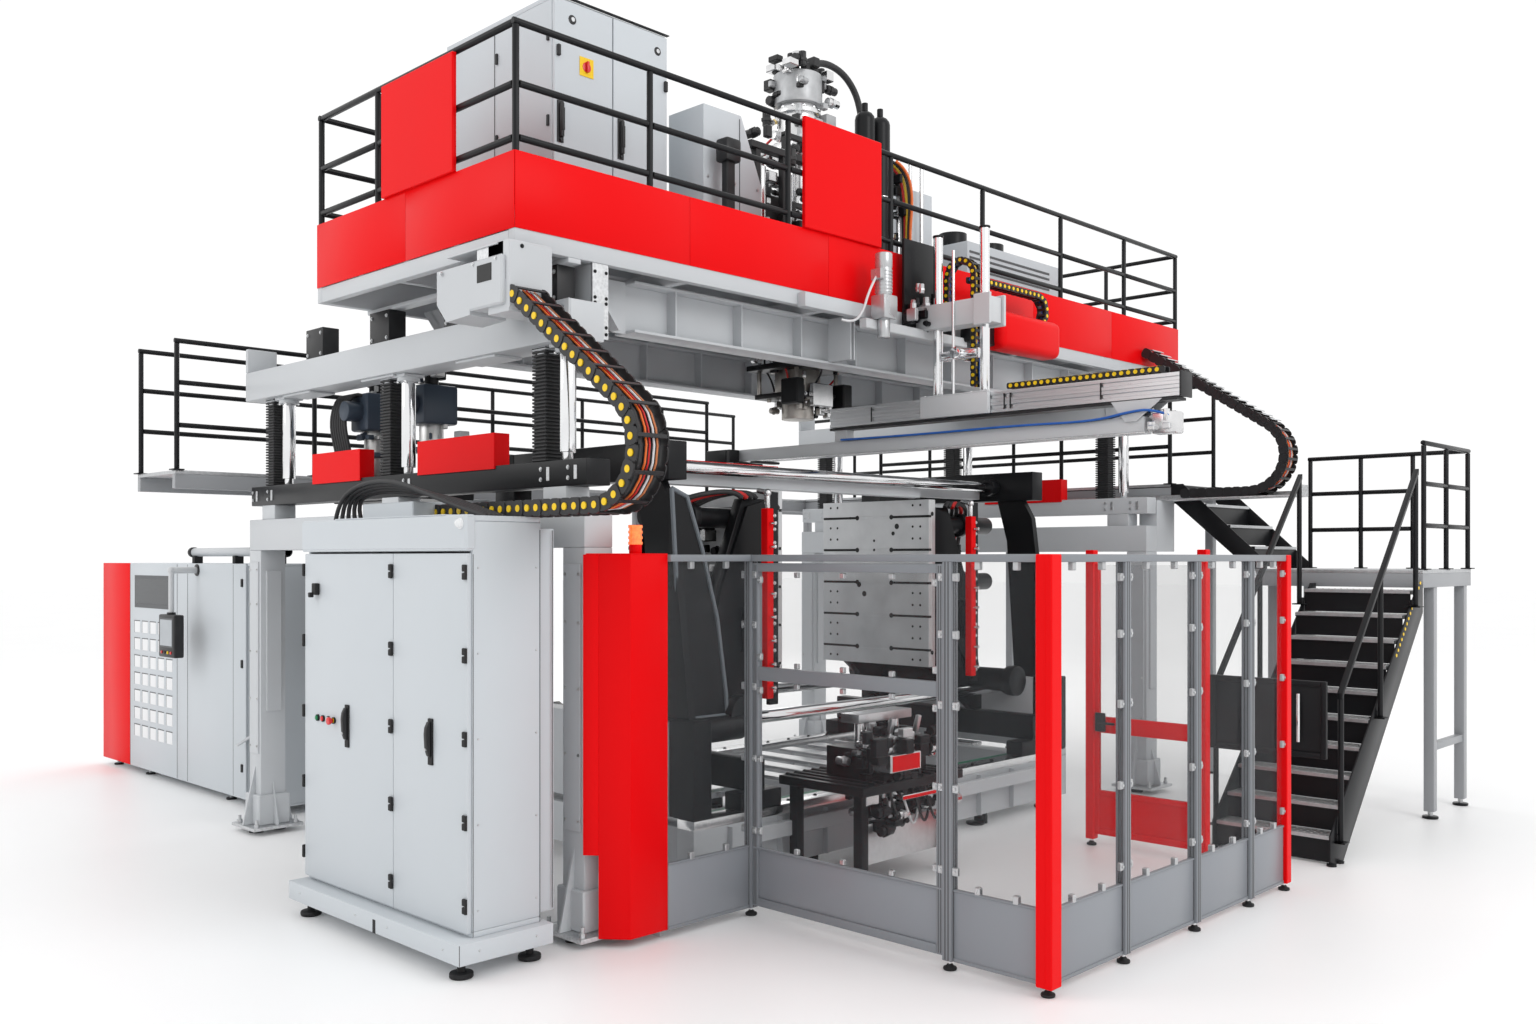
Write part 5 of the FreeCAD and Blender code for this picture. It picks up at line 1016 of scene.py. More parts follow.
for x in (0.38, 0.66):
    slab(station, bench + Vector((x, 0.10, 0.18)), bench + Vector((x + 0.035, 0.13, 0.40)), 0.004, 0,
         turn=Matrix.Rotation(0.25, 4, "X"))
for step in range(12):
    x = low.x + 0.06 + step * 0.085
    bar(station, (x, low.y + 0.02, 0.69), (x, high.y - 0.02, 0.69), 0.024, 1, 12)
in_place("deflashing_station", station, [aluminium, black_paint, steel_bright, red_paint], "line_frame",
         "takeout_line")
for place in range(4):
    loop = [bench + Vector((x + 0.12 * place, y, z)) for x, y, z in
            ((0.33, 0.10, 0.04), (0.28, -0.02, -0.16), (0.42, 0.02, -0.34), (0.58, 0.10, -0.18),
             (0.63, 0.20, -0.01))]
    cable(f"station_hose_{place}", loop, 0.009, (rubber, white_wire, rubber, rubber)[place], "line_frame")

# ------------------------------------------------------------------ transfer robot
# A carriage rolls along the platform's front with a silver gear motor. Chromed rods slide through its
# pale beam and carry an aluminium arm of slotted profile, with an energy chain on top and the gripper
# beam under it.
pale_metal = paint("pale_grey_metal", (0.58, 0.595, 0.61), 0.33, 0.05)
silver = paint("silver_paint", (0.52, 0.53, 0.54), 0.28, 0.08, metallic=0.7)
carriage = recast("robot_carriage", 0.005,
                  lambda a, b: 1 if b.y - a.y > 0.4 else (None if a.x > -0.2 and b.x - a.x < 0.16 else 0))
low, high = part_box("robot_carriage")
for x in (-0.35, -0.31):
    for y in (-3.66, -3.12):
        bolt(carriage, (x - 0.052, y, 3.97), (-1, 0, 0), 0.010, 2)
slab(carriage, (-0.43, -3.70, 3.80), (-0.405, -3.56, 4.02), 0.004, 1)
slab(carriage, (-0.25, -3.70, 3.80), (-0.225, -3.56, 4.02), 0.004, 1)
motor_x, motor_y = -0.90, -3.13
slab(carriage, (motor_x - 0.075, motor_y - 0.07, 3.83), (motor_x + 0.075, motor_y + 0.06, 4.00), 0.014, 2, 2)
bar(carriage, (motor_x, motor_y, 4.00), (motor_x, motor_y, 4.20), 0.058, 2, 24, edge=0.005)
bar(carriage, (motor_x, motor_y, 4.19), (motor_x, motor_y, 4.30), 0.062, 2, 24, edge=0.012)
bar(carriage, (motor_x, motor_y, 3.70), (motor_x, motor_y, 3.84), 0.045, 2, 24, edge=0.006)
slab(carriage, (motor_x - 0.09, motor_y - 0.05, 4.10), (motor_x - 0.05, motor_y + 0.05, 4.18), 0.008, 2)
for step in range(7):
    bar(carriage, (motor_x, motor_y, 4.02 + step * 0.024), (motor_x, motor_y, 4.032 + step * 0.024), 0.063,
        2, 24)
fittings(carriage, (-0.58, -3.16, 3.84), (-0.12, -3.05, 4.10), 26, 0.10, (0, 0, 2))
slab(carriage, (-1.05, -3.10, 3.76), (0.15, -3.03, 3.83), 0.006, 1)
# rounded red cowl over the travel drive
slab(carriage, (0.42, -3.24, 3.78), (1.28, -3.03, 4.08), 0.075, 3, 4)
slab(carriage, (0.10, -3.16, 3.80), (0.50, -3.06, 3.98), 0.02, 0, 2)
for step in range(4):
    bar(carriage, (0.55 + step * 0.17, -3.12, 4.05), (0.55 + step * 0.17, -3.12, 4.10), 0.012, 2, 12)
in_place("robot_carriage_unit", carriage, [black_paint, pale_metal, silver, red_paint], "transfer_carriage",
         "robot_carriage")
route = [(motor_x - 0.07, motor_y, 4.14), (motor_x - 0.16, motor_y, 4.02),
         (motor_x - 0.20, motor_y + 0.02, 3.86), (motor_x - 0.26, motor_y + 0.06, 3.78),
         (motor_x - 0.34, motor_y + 0.10, 3.80)]
cable("motor_cable", route, 0.009, white_wire, "transfer_carriage")

column = recast("robot_column", 0.004, lambda a, b: 0 if b.z - a.z > 0.8 else (None if a.z > 4.4 else 1))
low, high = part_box("robot_column")
for y in (-3.59, -3.18):
    bar(column, (-0.33, y, 4.499), (-0.33, y, 4.515), 0.040, 2, 20, edge=0.003)
bar(column, (-0.43, -3.40, 3.62), (-0.26, -3.40, 3.62), 0.045, 0, 20, edge=0.004)
bar(column, (-0.33, -3.54, 3.62), (-0.33, -3.23, 3.62), 0.038, 0, 20, edge=0.006)
bar(column, (-0.418, -3.38, 3.33), (-0.418, -3.38, 4.36), 0.011, 0, 12)
for y in (-3.66, -3.52, -3.25, -3.11):
    for x in (-0.40, -0.26):
        bolt(column, (x, y, 3.33), (0, 0, 1), 0.010, 0)
in_place("robot_rods", column, [chrome, pale_metal, black_paint], "transfer_column", "robot_column")

arm = recast("robot_arm", 0.004,
             lambda a, b: None if b.y - a.y > 2.5 and a.z > 3.1 else
             (2 if b.x - a.x > 0.14 and b.y - a.y < 0.05 else 1))
a0, a1 = [item for item in boxes("robot_arm") if item[1].y - item[0].y > 2.5 and item[0].z > 3.1][0]


def profile(bm, low, high, axis, finish=0, groove=0.010, mouth=0.34):
    """Aluminium profile between two corners: a core and four corner rails with slots between them."""
    low, high = Vector(low), Vector(high)
    others = [item for item in range(3) if item != axis]
    core_low, core_high = low.copy(), high.copy()
    for item in others:
        core_low[item] += groove
        core_high[item] -= groove
    slab(bm, core_low, core_high, 0.0, finish)
    u, v = others
    for first in (0, 1):
        for second in (0, 1):
            a, b = low.copy(), high.copy()
            wide_u = (high[u] - low[u]) * mouth
            wide_v = (high[v] - low[v]) * mouth
            a[u], b[u] = (low[u], low[u] + wide_u) if first == 0 else (high[u] - wide_u, high[u])
            a[v], b[v] = (low[v], low[v] + wide_v) if second == 0 else (high[v] - wide_v, high[v])
            slab(bm, a, b, 0.0025, finish)


middle_z = (a0.z + a1.z) / 2
profile(arm, a0, (a1.x, a1.y, middle_z), 1, 0)
profile(arm, (a0.x, a0.y, middle_z), a1, 1, 0)
slab(arm, (a0.x - 0.001, a0.y + 0.02, a0.z - 0.022), (a1.x + 0.001, a1.y, a0.z - 0.004), 0.002, 2)
for y in (-4.55, -3.85, -3.80, -2.60):
    slab(arm, (a0.x - 0.0007, y, a0.z + 0.02), (a0.x + 0.001, y + 0.012, a1.z - 0.02), 0, 2)
# folded lugs and fittings at the arm's near end
for x in (a0.x - 0.004, a1.x - 0.004):
    plate(arm, [(x, -4.98, 3.165), (x, -4.62, 3.165), (x, -4.72, 3.03), (x, -4.80, 3.03)], (0.008, 0, 0), 1)
fittings(arm, (a0.x - 0.01, -5.02, 2.97), (a1.x + 0.01, -4.84, 3.07), 20, 0.08, (3, 3, 0))
slab(arm, (a0.x + 0.005, -5.07, 2.94), (a1.x - 0.005, -4.90, 3.08), 0.012, 3, 2)
slab(arm, (-0.39, -4.86, 2.950), (-0.372, -1.14, 2.962), 0.002, 3)
for y in (-1.40, -1.20):
    slab(arm, (-0.47, y - 0.04, 2.932), (-0.19, y + 0.04, 2.952), 0.006, 2)
in_place("robot_arm_profile", arm, [aluminium, pale_metal, black_plastic, steel_bright], "transfer_arm",
         "robot_arm")
for place, finish in enumerate((blue_wire, rubber, blue_wire)):
    x = a0.x - 0.015 + 0.02 * place
    route = [(x, -2.3, 3.07), (x, -3.0, 3.06), (x - 0.01, -3.9, 3.065), (x, -4.5, 3.05),
             (x - 0.01, -4.75, 3.09), (x, -4.92, 3.10), (x + 0.03, -5.03, 3.05)]
    cable(f"arm_cable_{place}", route, 0.008, finish, "transfer_arm")


def link_side(bm, at, along, across, up, length, rise, finish=0):
    """One side plate of a chain link, with rounded ends, in a frame of three directions."""
    turn = Matrix((along, across, up)).transposed().to_4x4()
    matrix = Matrix.Translation(at) @ turn @ Matrix.Diagonal((length, 0.010, rise, 1))
    made = bmesh.ops.create_cube(bm, size=1.0, matrix=matrix)["verts"]
    ends = [line for line in edges_of(made)
            if abs((line.verts[0].co - line.verts[1].co).normalized().dot(across)) > 0.9]
    made = bmesh.ops.bevel(bm, geom=ends, offset=min(length, rise) * 0.28, segments=2, profile=0.5,
                           affect="EDGES", material=-1)["verts"]
    paint_faces(made, finish)


def chain(bm, path, side, width, rise, pitch, dot=0.0, cross=1, fill=()):
    """Energy chain along a list of points: side plates, cross bars, pivots and the cables inside.
    side is the direction across the chain; fill lists (share across, height, radius, finish)."""
    side = Vector(side)
    points = [Vector(point) for point in path]
    lengths = [0.0]
    for first, second in zip(points, points[1:]):
        lengths.append(lengths[-1] + (second - first).length)

    def spot(distance):
        distance = max(0.0, min(distance, lengths[-1] - 1e-6))
        for place in range(len(points) - 1):
            if lengths[place + 1] >= distance:
                share = (distance - lengths[place]) / (lengths[place + 1] - lengths[place])
                return points[place].lerp(points[place + 1], share)
        return points[-1]

    count = round(lengths[-1] / pitch)
    step = lengths[-1] / count
    for number in range(count):
        first, second = spot(number * step), spot((number + 1) * step)
        along = (second - first).normalized()
        up = side.cross(along)
        middle = (first + second) / 2
        for way in (-1, 1):
            nudge = 0.004 if number % 2 else 0.0
            at = middle + side * way * (width / 2 - 0.006 - nudge)
            link_side(bm, at, along, side, up, step * 1.10, rise)
            if dot:
                bar(bm, middle + side * way * (width / 2 - 0.008),
                    middle + side * way * (width / 2 + 0.0015), dot, 1, 14)
        if number % cross == 0:
            for high in (-1, 1):
                at = middle + up * high * (rise / 2 - 0.005)
                turn = Matrix((along, side, up)).transposed().to_4x4()
                slab(bm, at - Vector((0.011, width / 2 - 0.012, 0.005)),
                     at + Vector((0.011, width / 2 - 0.012, 0.005)), 0.002, 2, turn=turn)
        for share, height, radius, finish in fill:
            shift = side * share * (width / 2 - 0.03) + up * height
            bar(bm, first + shift - along * 0.004, second + shift + along * 0.004, radius, finish, 7)
    return bm


# energy chain lying along the top of the arm, and the loops beside the rods
strap_z = 3.352
strap = bmesh.new()
chain(strap, [(-0.33, -3.80, strap_z), (-0.33, -4.98, strap_z)], (1, 0, 0), 0.075, 0.042, 0.052, 0.0, 1)
for step in range(23):
    y = -3.83 - 0.05 * step
    bar(strap, (-0.371, y, strap_z), (-0.3655, y, strap_z), 0.014, 1, 12)
    slab(strap, (-0.345, y - 0.016, strap_z + 0.022), (-0.315, y + 0.016, strap_z + 0.025), 0.001, 1)
finished("arm_chain", strap, [black_plastic, yellow, black_plastic], "transfer_arm", "robot_arm")
loop = bmesh.new()
loop_x = -0.20
path = [(loop_x, -3.42, 3.40), (loop_x, -3.42, 3.70), (loop_x, -3.42, 4.00), (loop_x, -3.42, 4.20)]
path += [(loop_x, -3.30 - 0.12 * math.cos(math.radians(angle)), 4.22 + 0.12 * math.sin(math.radians(angle)))
         for angle in range(0, 181, 20)]
path += [(loop_x, -3.18, 4.10), (loop_x, -3.18, 3.90)]
chain(loop, path, (1, 0, 0), 0.075, 0.045, 0.055, 0.013, 1,
      ((-0.4, 0, 0.009, 3), (0.2, 0.004, 0.009, 4), (0.7, -0.004, 0.008, 5)))
finished("column_chain", loop, [black_plastic, yellow, black_plastic, red_wire, yellow_wire, blue_wire],
         "transfer_column", "robot_column")
for place, finish in enumerate((blue_wire, red_wire, yellow_wire, rubber, blue_wire)):
    shift = 0.016 * place
    route = [(-0.20 + shift, -3.40, 3.95), (-0.19 + shift, -3.42, 3.75), (-0.17 + shift, -3.44, 3.60),
             (-0.21 + shift, -3.46, 3.48), (-0.24 + shift, -3.50, 3.36)]
    cable(f"column_cable_{place}", route, 0.008, finish, "transfer_column")

travel = bmesh.new()
travel_y = -3.13
path = [(0.15, travel_y, 4.28), (0.60, travel_y, 4.28), (1.05, travel_y, 4.28)]
path += [(1.05 + 0.115 * math.sin(math.radians(angle)), travel_y,
          4.165 + 0.115 * math.cos(math.radians(angle)))
         for angle in range(20, 161, 20)]
path += [(1.05, travel_y, 4.05), (0.80, travel_y, 4.05)]
chain(travel, path, (0, 1, 0), 0.09, 0.05, 0.06, 0.014, 1, ((-0.4, 0, 0.010, 2), (0.4, 0, 0.010, 3)))
finished("travel_chain", travel, [black_plastic, yellow, black_plastic, blue_wire], "transfer_carriage",
         "robot_carriage")
for word, side in (("left", -1), ("right", 1)):
    jaw = recast(f"gripper_jaw_{word}", 0.005)
    low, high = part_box(f"gripper_jaw_{word}")
    tip = low.x + 0.015 if side < 0 else high.x - 0.015
    for z in (low.z + 0.03, high.z - 0.03):
        bolt(jaw, (tip, low.y + 0.05, z), (side, 0, 0), 0.009, 1)
    slab(jaw, (tip - 0.018, high.y - 0.09, low.z - 0.012), (tip + 0.018, high.y, low.z), 0.002, 1)
    in_place(f"gripper_jaw_{word}_unit", jaw, [black_paint, steel_bright], f"{word}_jaw",
             f"gripper_jaw_{word}")

# ------------------------------------------------------------------ control cabinet
# A double-door steel cabinet on a pale folded plinth with round levelling feet. Its header strip overlaps
# the doors, the side sheets are riveted, and cables leave over its top.
rubber_pad = paint("black_foot_rubber", (0.012, 0.012, 0.013), 0.6, 0.2)
low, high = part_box("cabinet_housing")
door_low, door_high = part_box("cabinet_door_right")
left_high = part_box("cabinet_door_left")[1]
front = door_high.x
shell = recast("cabinet_housing", 0.006, lambda a, b: None if b.z < 0.12 else 0)
for x in (low.x + 0.09, high.x - 0.16):
    for y in (low.y + 0.12, high.y - 0.11):
        bar(shell, (x, y, 0.0), (x, y, 0.030), 0.062, 1, 28, edge=0.008)
        bar(shell, (x, y, 0.028), (x, y, 0.097), 0.022, 1, 14)
header_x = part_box("cabinet_housing")[0].x + 0.078
side = door_low.y - 0.008
slab(shell, (header_x - 0.004, side - 0.006, 2.19), (header_x + 0.06, left_high.y + 0.014, 2.374), 0.012)
slab(shell, (header_x + 0.002, side + 0.2, 2.372), (-3.90, left_high.y - 0.4, 2.378), 0.002)
for x in (-4.27, -3.91):
    for step in range(5):
        ball(shell, (x, side - 0.001, 0.34 + step * 0.44), 0.0055, 3, sides=8)
# dark lines at the door edges and down the side: painted shade in the door gaps and seams
slab(shell, (-3.888, side - 0.002, 0.21), (-3.884, side + 0.001, 2.30), 0, 2)
slab(shell, (front + 0.002, side - 0.001, 0.21), (front + 0.005, side + 0.001, 2.17), 0, 2)
for x in (-3.86, -3.77):
    slab(shell, (x, side + 0.048, 0.25), (x + 0.004, side + 0.051, 2.3), 0, 2)
# slot, screws and corner joint of the plinth; the slot is a thin black sheet and the joint a dark line, both
# painted shade
slab(shell, (low.x - 0.002, -2.425, 0.095), (low.x + 0.001, -2.395, 0.170), 0.001, 1)
slab(shell, (low.x + 0.001, low.y - 0.0015, 0.097), (low.x + 0.004, low.y + 0.001, 0.203), 0, 2)
for y in (low.y + 0.15, -2.55, -2.20, high.y - 0.15):
    ball(shell, (low.x - 0.0005, y, 0.155), 0.006, 3, sides=8)
for x in (low.x + 0.12, high.x - 0.2):
    ball(shell, (x, low.y - 0.0005, 0.155), 0.006, 3, sides=8)
# hinges on the far edge, and the cable entry box over the top
hinges = [0.37 + step * 0.427 for step in range(5)]
for z in hinges:
    slab(shell, (front - 0.036, left_high.y + 0.004, z - 0.038),
         (front + 0.012, left_high.y + 0.026, z + 0.038), 0.004, 1)
slab(shell, (-4.12, -2.30, 2.372), (-3.90, -1.72, 2.475), 0.006)
in_place("cabinet_shell", shell, [cabinet_grey, rubber_pad, gap_shadow_grey, zinc], "line_frame", "cabinet_housing")
for place in range(5):
    x = -4.16 + 0.028 * place
    route = [(x, -1.46 - 0.03 * place, 2.37), (x, -1.50, 2.50), (x + 0.01, -1.75, 2.60 - 0.012 * place),
             (x + 0.02, -2.15, 2.60 - 0.016 * place), (x + 0.03, -2.55, 2.49), (x + 0.05, -2.85, 2.41),
             (x + 0.06, -3.02, 2.372)]
    cable(f"cabinet_hose_{place}", route, 0.013, rubber, "line_frame")
rebuilt("cabinet_device_rows", "cabinet_devices", [white_wire], "line_frame", 0.004)

# ------------------------------------------------------------------ cabinet doors, levers and buttons
# Each leaf is a sheet tray with a rolled edge on five black hinges. The levers are black castings with
# a key lock; the buttons are coloured caps in black collars.
for word in ("left", "right"):
    leaf = recast(f"cabinet_door_{word}", 0.005,
                  lambda a, b: 0 if b.z - a.z > 1 else None)
    low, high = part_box(f"cabinet_door_{word}")
    face = high.x - 0.028
    for z in hinges:
        for shift in (-0.021, 0.021):
            slab(leaf, (face - 0.015, low.y + 0.002, z + shift - 0.018),
                 (face, low.y + 0.030, z + shift + 0.018), 0.004, 1)
        bar(leaf, (face - 0.008, low.y, z - 0.038), (face - 0.008, low.y, z + 0.038), 0.008, 1, 10)
    grip_low, grip_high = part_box(f"door_handle_{word}")
    y = (grip_low.y + grip_high.y) / 2
    slab(leaf, (face - 0.010, y - 0.022, grip_low.z - 0.040), (face, y + 0.022, grip_high.z + 0.016), 0.009,
         1, 3)
    if word == "left":
        for step in range(4):
            y = -1.781 + step * 0.067
            for turn in range(16):
                angle = math.radians(22.5 * turn)
                spot = Vector((face - 0.005, y + 0.0172 * math.cos(angle), 1.197 + 0.0172 * math.sin(angle)))
                slab(leaf, spot - Vector((0.005, 0.0022, 0.0036)), spot + Vector((0.005, 0.0022, 0.0036)), 0,
                     1, turn=Matrix.Rotation(angle, 4, "X"))
        slab(leaf, (face - 0.030, -1.60, 1.93), (face, -1.55, 2.00), 0.006, 1, 2)
        slab(leaf, (face - 0.045, -1.565, 1.915), (face - 0.020, -1.535, 1.945), 0.005, 1, 2)
    in_place(f"cabinet_leaf_{word}", leaf, [cabinet_grey, rubber_pad], f"{word}_door", f"cabinet_door_{word}")
    grip = bmesh.new()
    low, high = grip_low, grip_high
    middle = (low.y + high.y) / 2
    outline = [(high.x, 0, low.z), (high.x, 0, high.z), (high.x - 0.012, 0, high.z),
               (high.x - 0.026, 0, high.z - 0.03),
               (high.x - 0.030, 0, (low.z + high.z) / 2 + 0.03), (high.x - 0.026, 0, low.z + 0.05),
               (high.x - 0.014, 0, low.z + 0.01)]
    plate(grip, [(x, middle - 0.014, z) for x, _, z in outline], (0, 0.028, 0), 0)
    lines = [line for line in grip.edges if line.calc_face_angle(0) > 0.5]
    bmesh.ops.bevel(grip, geom=lines, offset=0.005, segments=3, profile=0.5, affect="EDGES", material=-1)
    bar(grip, (high.x - 0.031, middle, low.z + 0.045), (high.x - 0.022, middle, low.z + 0.045), 0.008, 1, 14)
    in_place(f"door_lever_{word}", grip, [black_plastic, zinc], f"{word}_handle", f"door_handle_{word}")
green_cap = paint("green_button", (0.01, 0.20, 0.07), 0.3, 0.05)
white_cap = paint("white_button", (0.75, 0.75, 0.73), 0.3, 0.03)
for word, body, cap in (("start_button", "start", green_cap), ("stop_button", "stop", red_plastic),
                        ("reset_button", "reset", white_cap)):
    low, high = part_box(word)
    knob = bmesh.new()
    middle = (low + high) / 2
    bar(knob, (low.x, middle.y, middle.z), (high.x, middle.y, middle.z), 0.0145, 0, 24, edge=0.002)
    bar(knob, (low.x - 0.0015, middle.y, middle.z), (low.x + 0.004, middle.y, middle.z), 0.011, 0, 24,
        edge=0.0015)
    in_place(f"{word}_cap", knob, [cap], body, word)
low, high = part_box("emergency_stop")
knob = bmesh.new()
middle = (low + high) / 2
bar(knob, (high.x, middle.y, middle.z), (high.x - 0.006, middle.y, middle.z), 0.0125, 1, 20)
bar(knob, (high.x - 0.006, middle.y, middle.z), (low.x + 0.016, middle.y, middle.z), 0.0125, 0, 20, tip=0.020)
bar(knob, (low.x + 0.018, middle.y, middle.z), (low.x, middle.y, middle.z), 0.0225, 0, 28, edge=0.004)
in_place("emergency_mushroom", knob, [red_plastic, yellow], "emergency", "emergency_stop")

# ------------------------------------------------------------------ guard fence
# Grooved grey posts on levelling feet carry painted kick panels and clear sheets held by small clamps.
# The corner posts are red, and the near column is wrapped in a folded red cover with a beacon on its lid.
post_grey = paint("post_grey_paint", (0.225, 0.24, 0.26), 0.36, 0.06)
kick_grey = paint("kick_panel_grey", (0.255, 0.270, 0.295), 0.34, 0.06)
glass = Finish("clear_sheet", Specular_IOR_Level=0.35)
haze = glass.noise(1.4, 3.0)
glass.set(Base_Color=glass.between(haze, (0.06, 0.065, 0.07), (0.12, 0.13, 0.14)),
          Roughness=0.03 + haze * 0.05, Alpha=0.07 + haze * 0.06)
fence = recast("fence_frame", 0.004,
               lambda a, b: None if b.z < 0.06 or a.x > 0.6 else (1 if b.z < 0.5 else 0))
clamps = bmesh.new()
for low, high in boxes("fence_frame"):
    middle = (low + high) / 2
    if high.z < 0.06:
        bar(fence, (middle.x, middle.y, 0), (middle.x, middle.y, 0.018), 0.036, 2, 20, edge=0.006)
        bar(fence, (middle.x, middle.y, 0.016), (middle.x, middle.y, 0.032), 0.026, 2, 20, tip=0.014)
        bar(fence, (middle.x, middle.y, 0.028), (middle.x, middle.y, 0.055), 0.009, 3, 12)
        bar(fence, (middle.x, middle.y, 0.040), (middle.x, middle.y, 0.050), 0.016, 3, 6)
        continue
    if high.z - low.z < 1.5:
        continue
    red = high.x > 0.3 or (low.y < -5.4 and high.x < -2.4)
    if red:
        out = 0.024 if low.x < -2 else 0.006
        slab(fence, (low.x - out, low.y - out, low.z), (high.x + out * 0.4, high.y + out * 0.4,
                                                        high.z + 0.040), 0.005, 4)
        slab(fence, (low.x - out - 0.001, low.y + 0.012, low.z + 0.005),
             (low.x - out + 0.001, low.y + 0.015, high.z), 0, 4)
    else:
        # the grooves are thin dark strips: painted shade in them
        for share in (0.33, 0.67):
            x, y = low.x + 0.06 * share, low.y + 0.06 * share
            slab(fence, (x - 0.004, low.y - 0.0012, low.z + 0.004), (x + 0.004, low.y + 0.001, high.z), 0, 5)
            slab(fence, (low.x - 0.0012, y - 0.004, low.z + 0.004), (low.x + 0.001, y + 0.004, high.z), 0, 5)
    if low.x > 0.6:
        continue
    for z in (0.52, 0.95, 1.38, 1.75, 2.05):
        for way in (-1, 1):
            if low.y < -5.4:
                if low.x + way * 0.1 < -2.55 or high.x + way * 0.1 > 0.40:
                    continue
                spot = Vector((middle.x + way * 0.046, low.y + 0.020, z))
                half, screw = Vector((0.018, 0.012, 0.022)), Vector((0, 0.018, 0))
            else:
                spot = Vector((low.x + 0.018, middle.y + way * 0.046, z))
                half, screw = Vector((0.012, 0.018, 0.022)), Vector((0.018, 0, 0))
            slab(clamps, spot - half, spot + half, 0.004, 0)
            bar(clamps, spot - screw, spot, 0.008, 1, 10)
for low, high in boxes("fence_panes"):
    for share in (0.28, 0.72):
        for z, drop in ((0.44, 0.02), (2.11, -0.02)):
            x, y = low.x + share * (high.x - low.x), low.y + share * (high.y - low.y)
            slab(clamps, (x - 0.016, y - 0.016, z - 0.022), (x + 0.016, y + 0.016, z + 0.022), 0.004, 0)
finished("fence_clamps", clamps, [silver, zinc], "line_frame", "fence_panes")
for low, high in boxes("fence_frame"):
    if high.z < 0.5 and high.z > 0.1:
        if high.x - low.x > high.y - low.y:
            slab(fence, (low.x, low.y - 0.006, high.z - 0.006), (high.x, high.y + 0.002, high.z + 0.006),
                 0.003, 0)
            slab(fence, (low.x, low.y - 0.004, low.z), (high.x, low.y + 0.001, low.z + 0.020), 0.002, 0)
        else:
            slab(fence, (low.x - 0.006, low.y, high.z - 0.006), (high.x + 0.002, high.y, high.z + 0.006),
                 0.003, 0)
            slab(fence, (low.x - 0.004, low.y, low.z), (low.x + 0.001, high.y, low.z + 0.020), 0.002, 0)
in_place("fence_posts", fence, [post_grey, kick_grey, rubber_pad, chrome, red_paint, gap_shadow_grey],
         "line_frame", "fence_frame")
panes = recast("fence_panes", 0.001)
in_place("fence_sheets", panes, [glass], "line_frame", "fence_panes")
wing = recast("fence_door", 0.004,
              lambda a, b: 2 if b.x - a.x < 0.010 else (1 if b.x - a.x < 0.025 else 0))
low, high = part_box("fence_door")
for z in (0.52, 0.95, 1.36, 1.56, 2.02):
    for y in (low.y + 0.055, high.y - 0.055):
        slab(wing, (low.x - 0.001, y - 0.016, z - 0.020), (low.x + 0.024, y + 0.016, z + 0.020), 0.004, 3)
        bar(wing, (low.x - 0.007, y, z), (low.x + 0.004, y, z), 0.008, 4, 10)
for share in (0.25, 0.5, 0.75):
    for z in (0.44, 1.40, 1.52, 2.05):
        y = low.y + share * (high.y - low.y)
        slab(wing, (low.x + 0.002, y - 0.016, z - 0.016), (low.x + 0.028, y + 0.016, z + 0.016), 0.004, 3)
slab(wing, (low.x - 0.002, low.y, 0.412), (low.x + 0.01, high.y, 0.424), 0.002)
# grooves down the stile: thin dark strips of painted shade
for y in (low.y + 0.015, low.y + 0.030, high.y - 0.030, high.y - 0.015):
    slab(wing, (low.x - 0.0012, y - 0.003, 0.08), (low.x + 0.001, y + 0.003, 2.11), 0, 5)
in_place("fence_door_wing", wing, [post_grey, kick_grey, glass, silver, zinc, gap_shadow_grey], "guard_door",
         "fence_door")
gate = recast("access_gate", 0.005, lambda a, b: None if b.x - a.x < 0.02 else 0)
low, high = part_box("access_gate")
slab(gate, (0.632, low.y + 0.04, 0.14), (0.644, high.y - 0.04, 0.38), 0.002, 0)
for z0, z1 in ((0.42, 0.85), (0.97, 2.10)):
    slab(gate, (0.634, low.y + 0.04, z0), (0.642, high.y - 0.04, z1), 0, 1)
slab(gate, (0.595, high.y - 0.10, 0.86), (0.622, high.y - 0.02, 1.00), 0.008, 2, 2)
bar(gate, (0.560, high.y - 0.06, 0.93), (0.600, high.y - 0.06, 0.93), 0.012, 2, 12)
bar(gate, (0.560, high.y - 0.07, 0.93), (0.560, high.y - 0.20, 0.93), 0.010, 2, 12)
in_place("access_gate_wing", gate, [red_paint, glass, black_plastic], "red_gate", "access_gate")
cover = recast("column_covers", 0.002, lambda a, b: 1 if a.z < 0.01 else 0)
in_place("column_cover_sheets", cover, [red_paint, frame_grey], "line_frame", "column_covers")

# ------------------------------------------------------------------ lamps
# A white dome lamp on the cabinet's header, and a ribbed red and amber beacon on the column cover.
dome_white = paint("white_dome", (0.78, 0.79, 0.80), 0.25, 0.03)
amber = Finish("amber_lens", Emission_Strength=0.5, Coat_Weight=0.4)
amber.set(Base_Color=amber.between(amber.noise(60.0), (0.90, 0.12, 0.02), (0.98, 0.45, 0.10)),
          Roughness=0.15 + amber.noise(9.0) * 0.1,
          Emission_Color=amber.between(amber.noise(40.0), (0.9, 0.03, 0.01), (1.0, 0.22, 0.05)))
lamp = bmesh.new()
found = boxes("signal_lamps")
low, high = min(found, key=lambda item: item[0].x)
middle = (low + high) / 2
bar(lamp, (high.x, middle.y, middle.z), (high.x - 0.010, middle.y, middle.z), 0.030, 0, 24, edge=0.003)
ball(lamp, (high.x - 0.012, middle.y, middle.z), 0.024, 0)
stack = sorted([item for item in found if item[0].x > -4], key=lambda item: item[0].z)
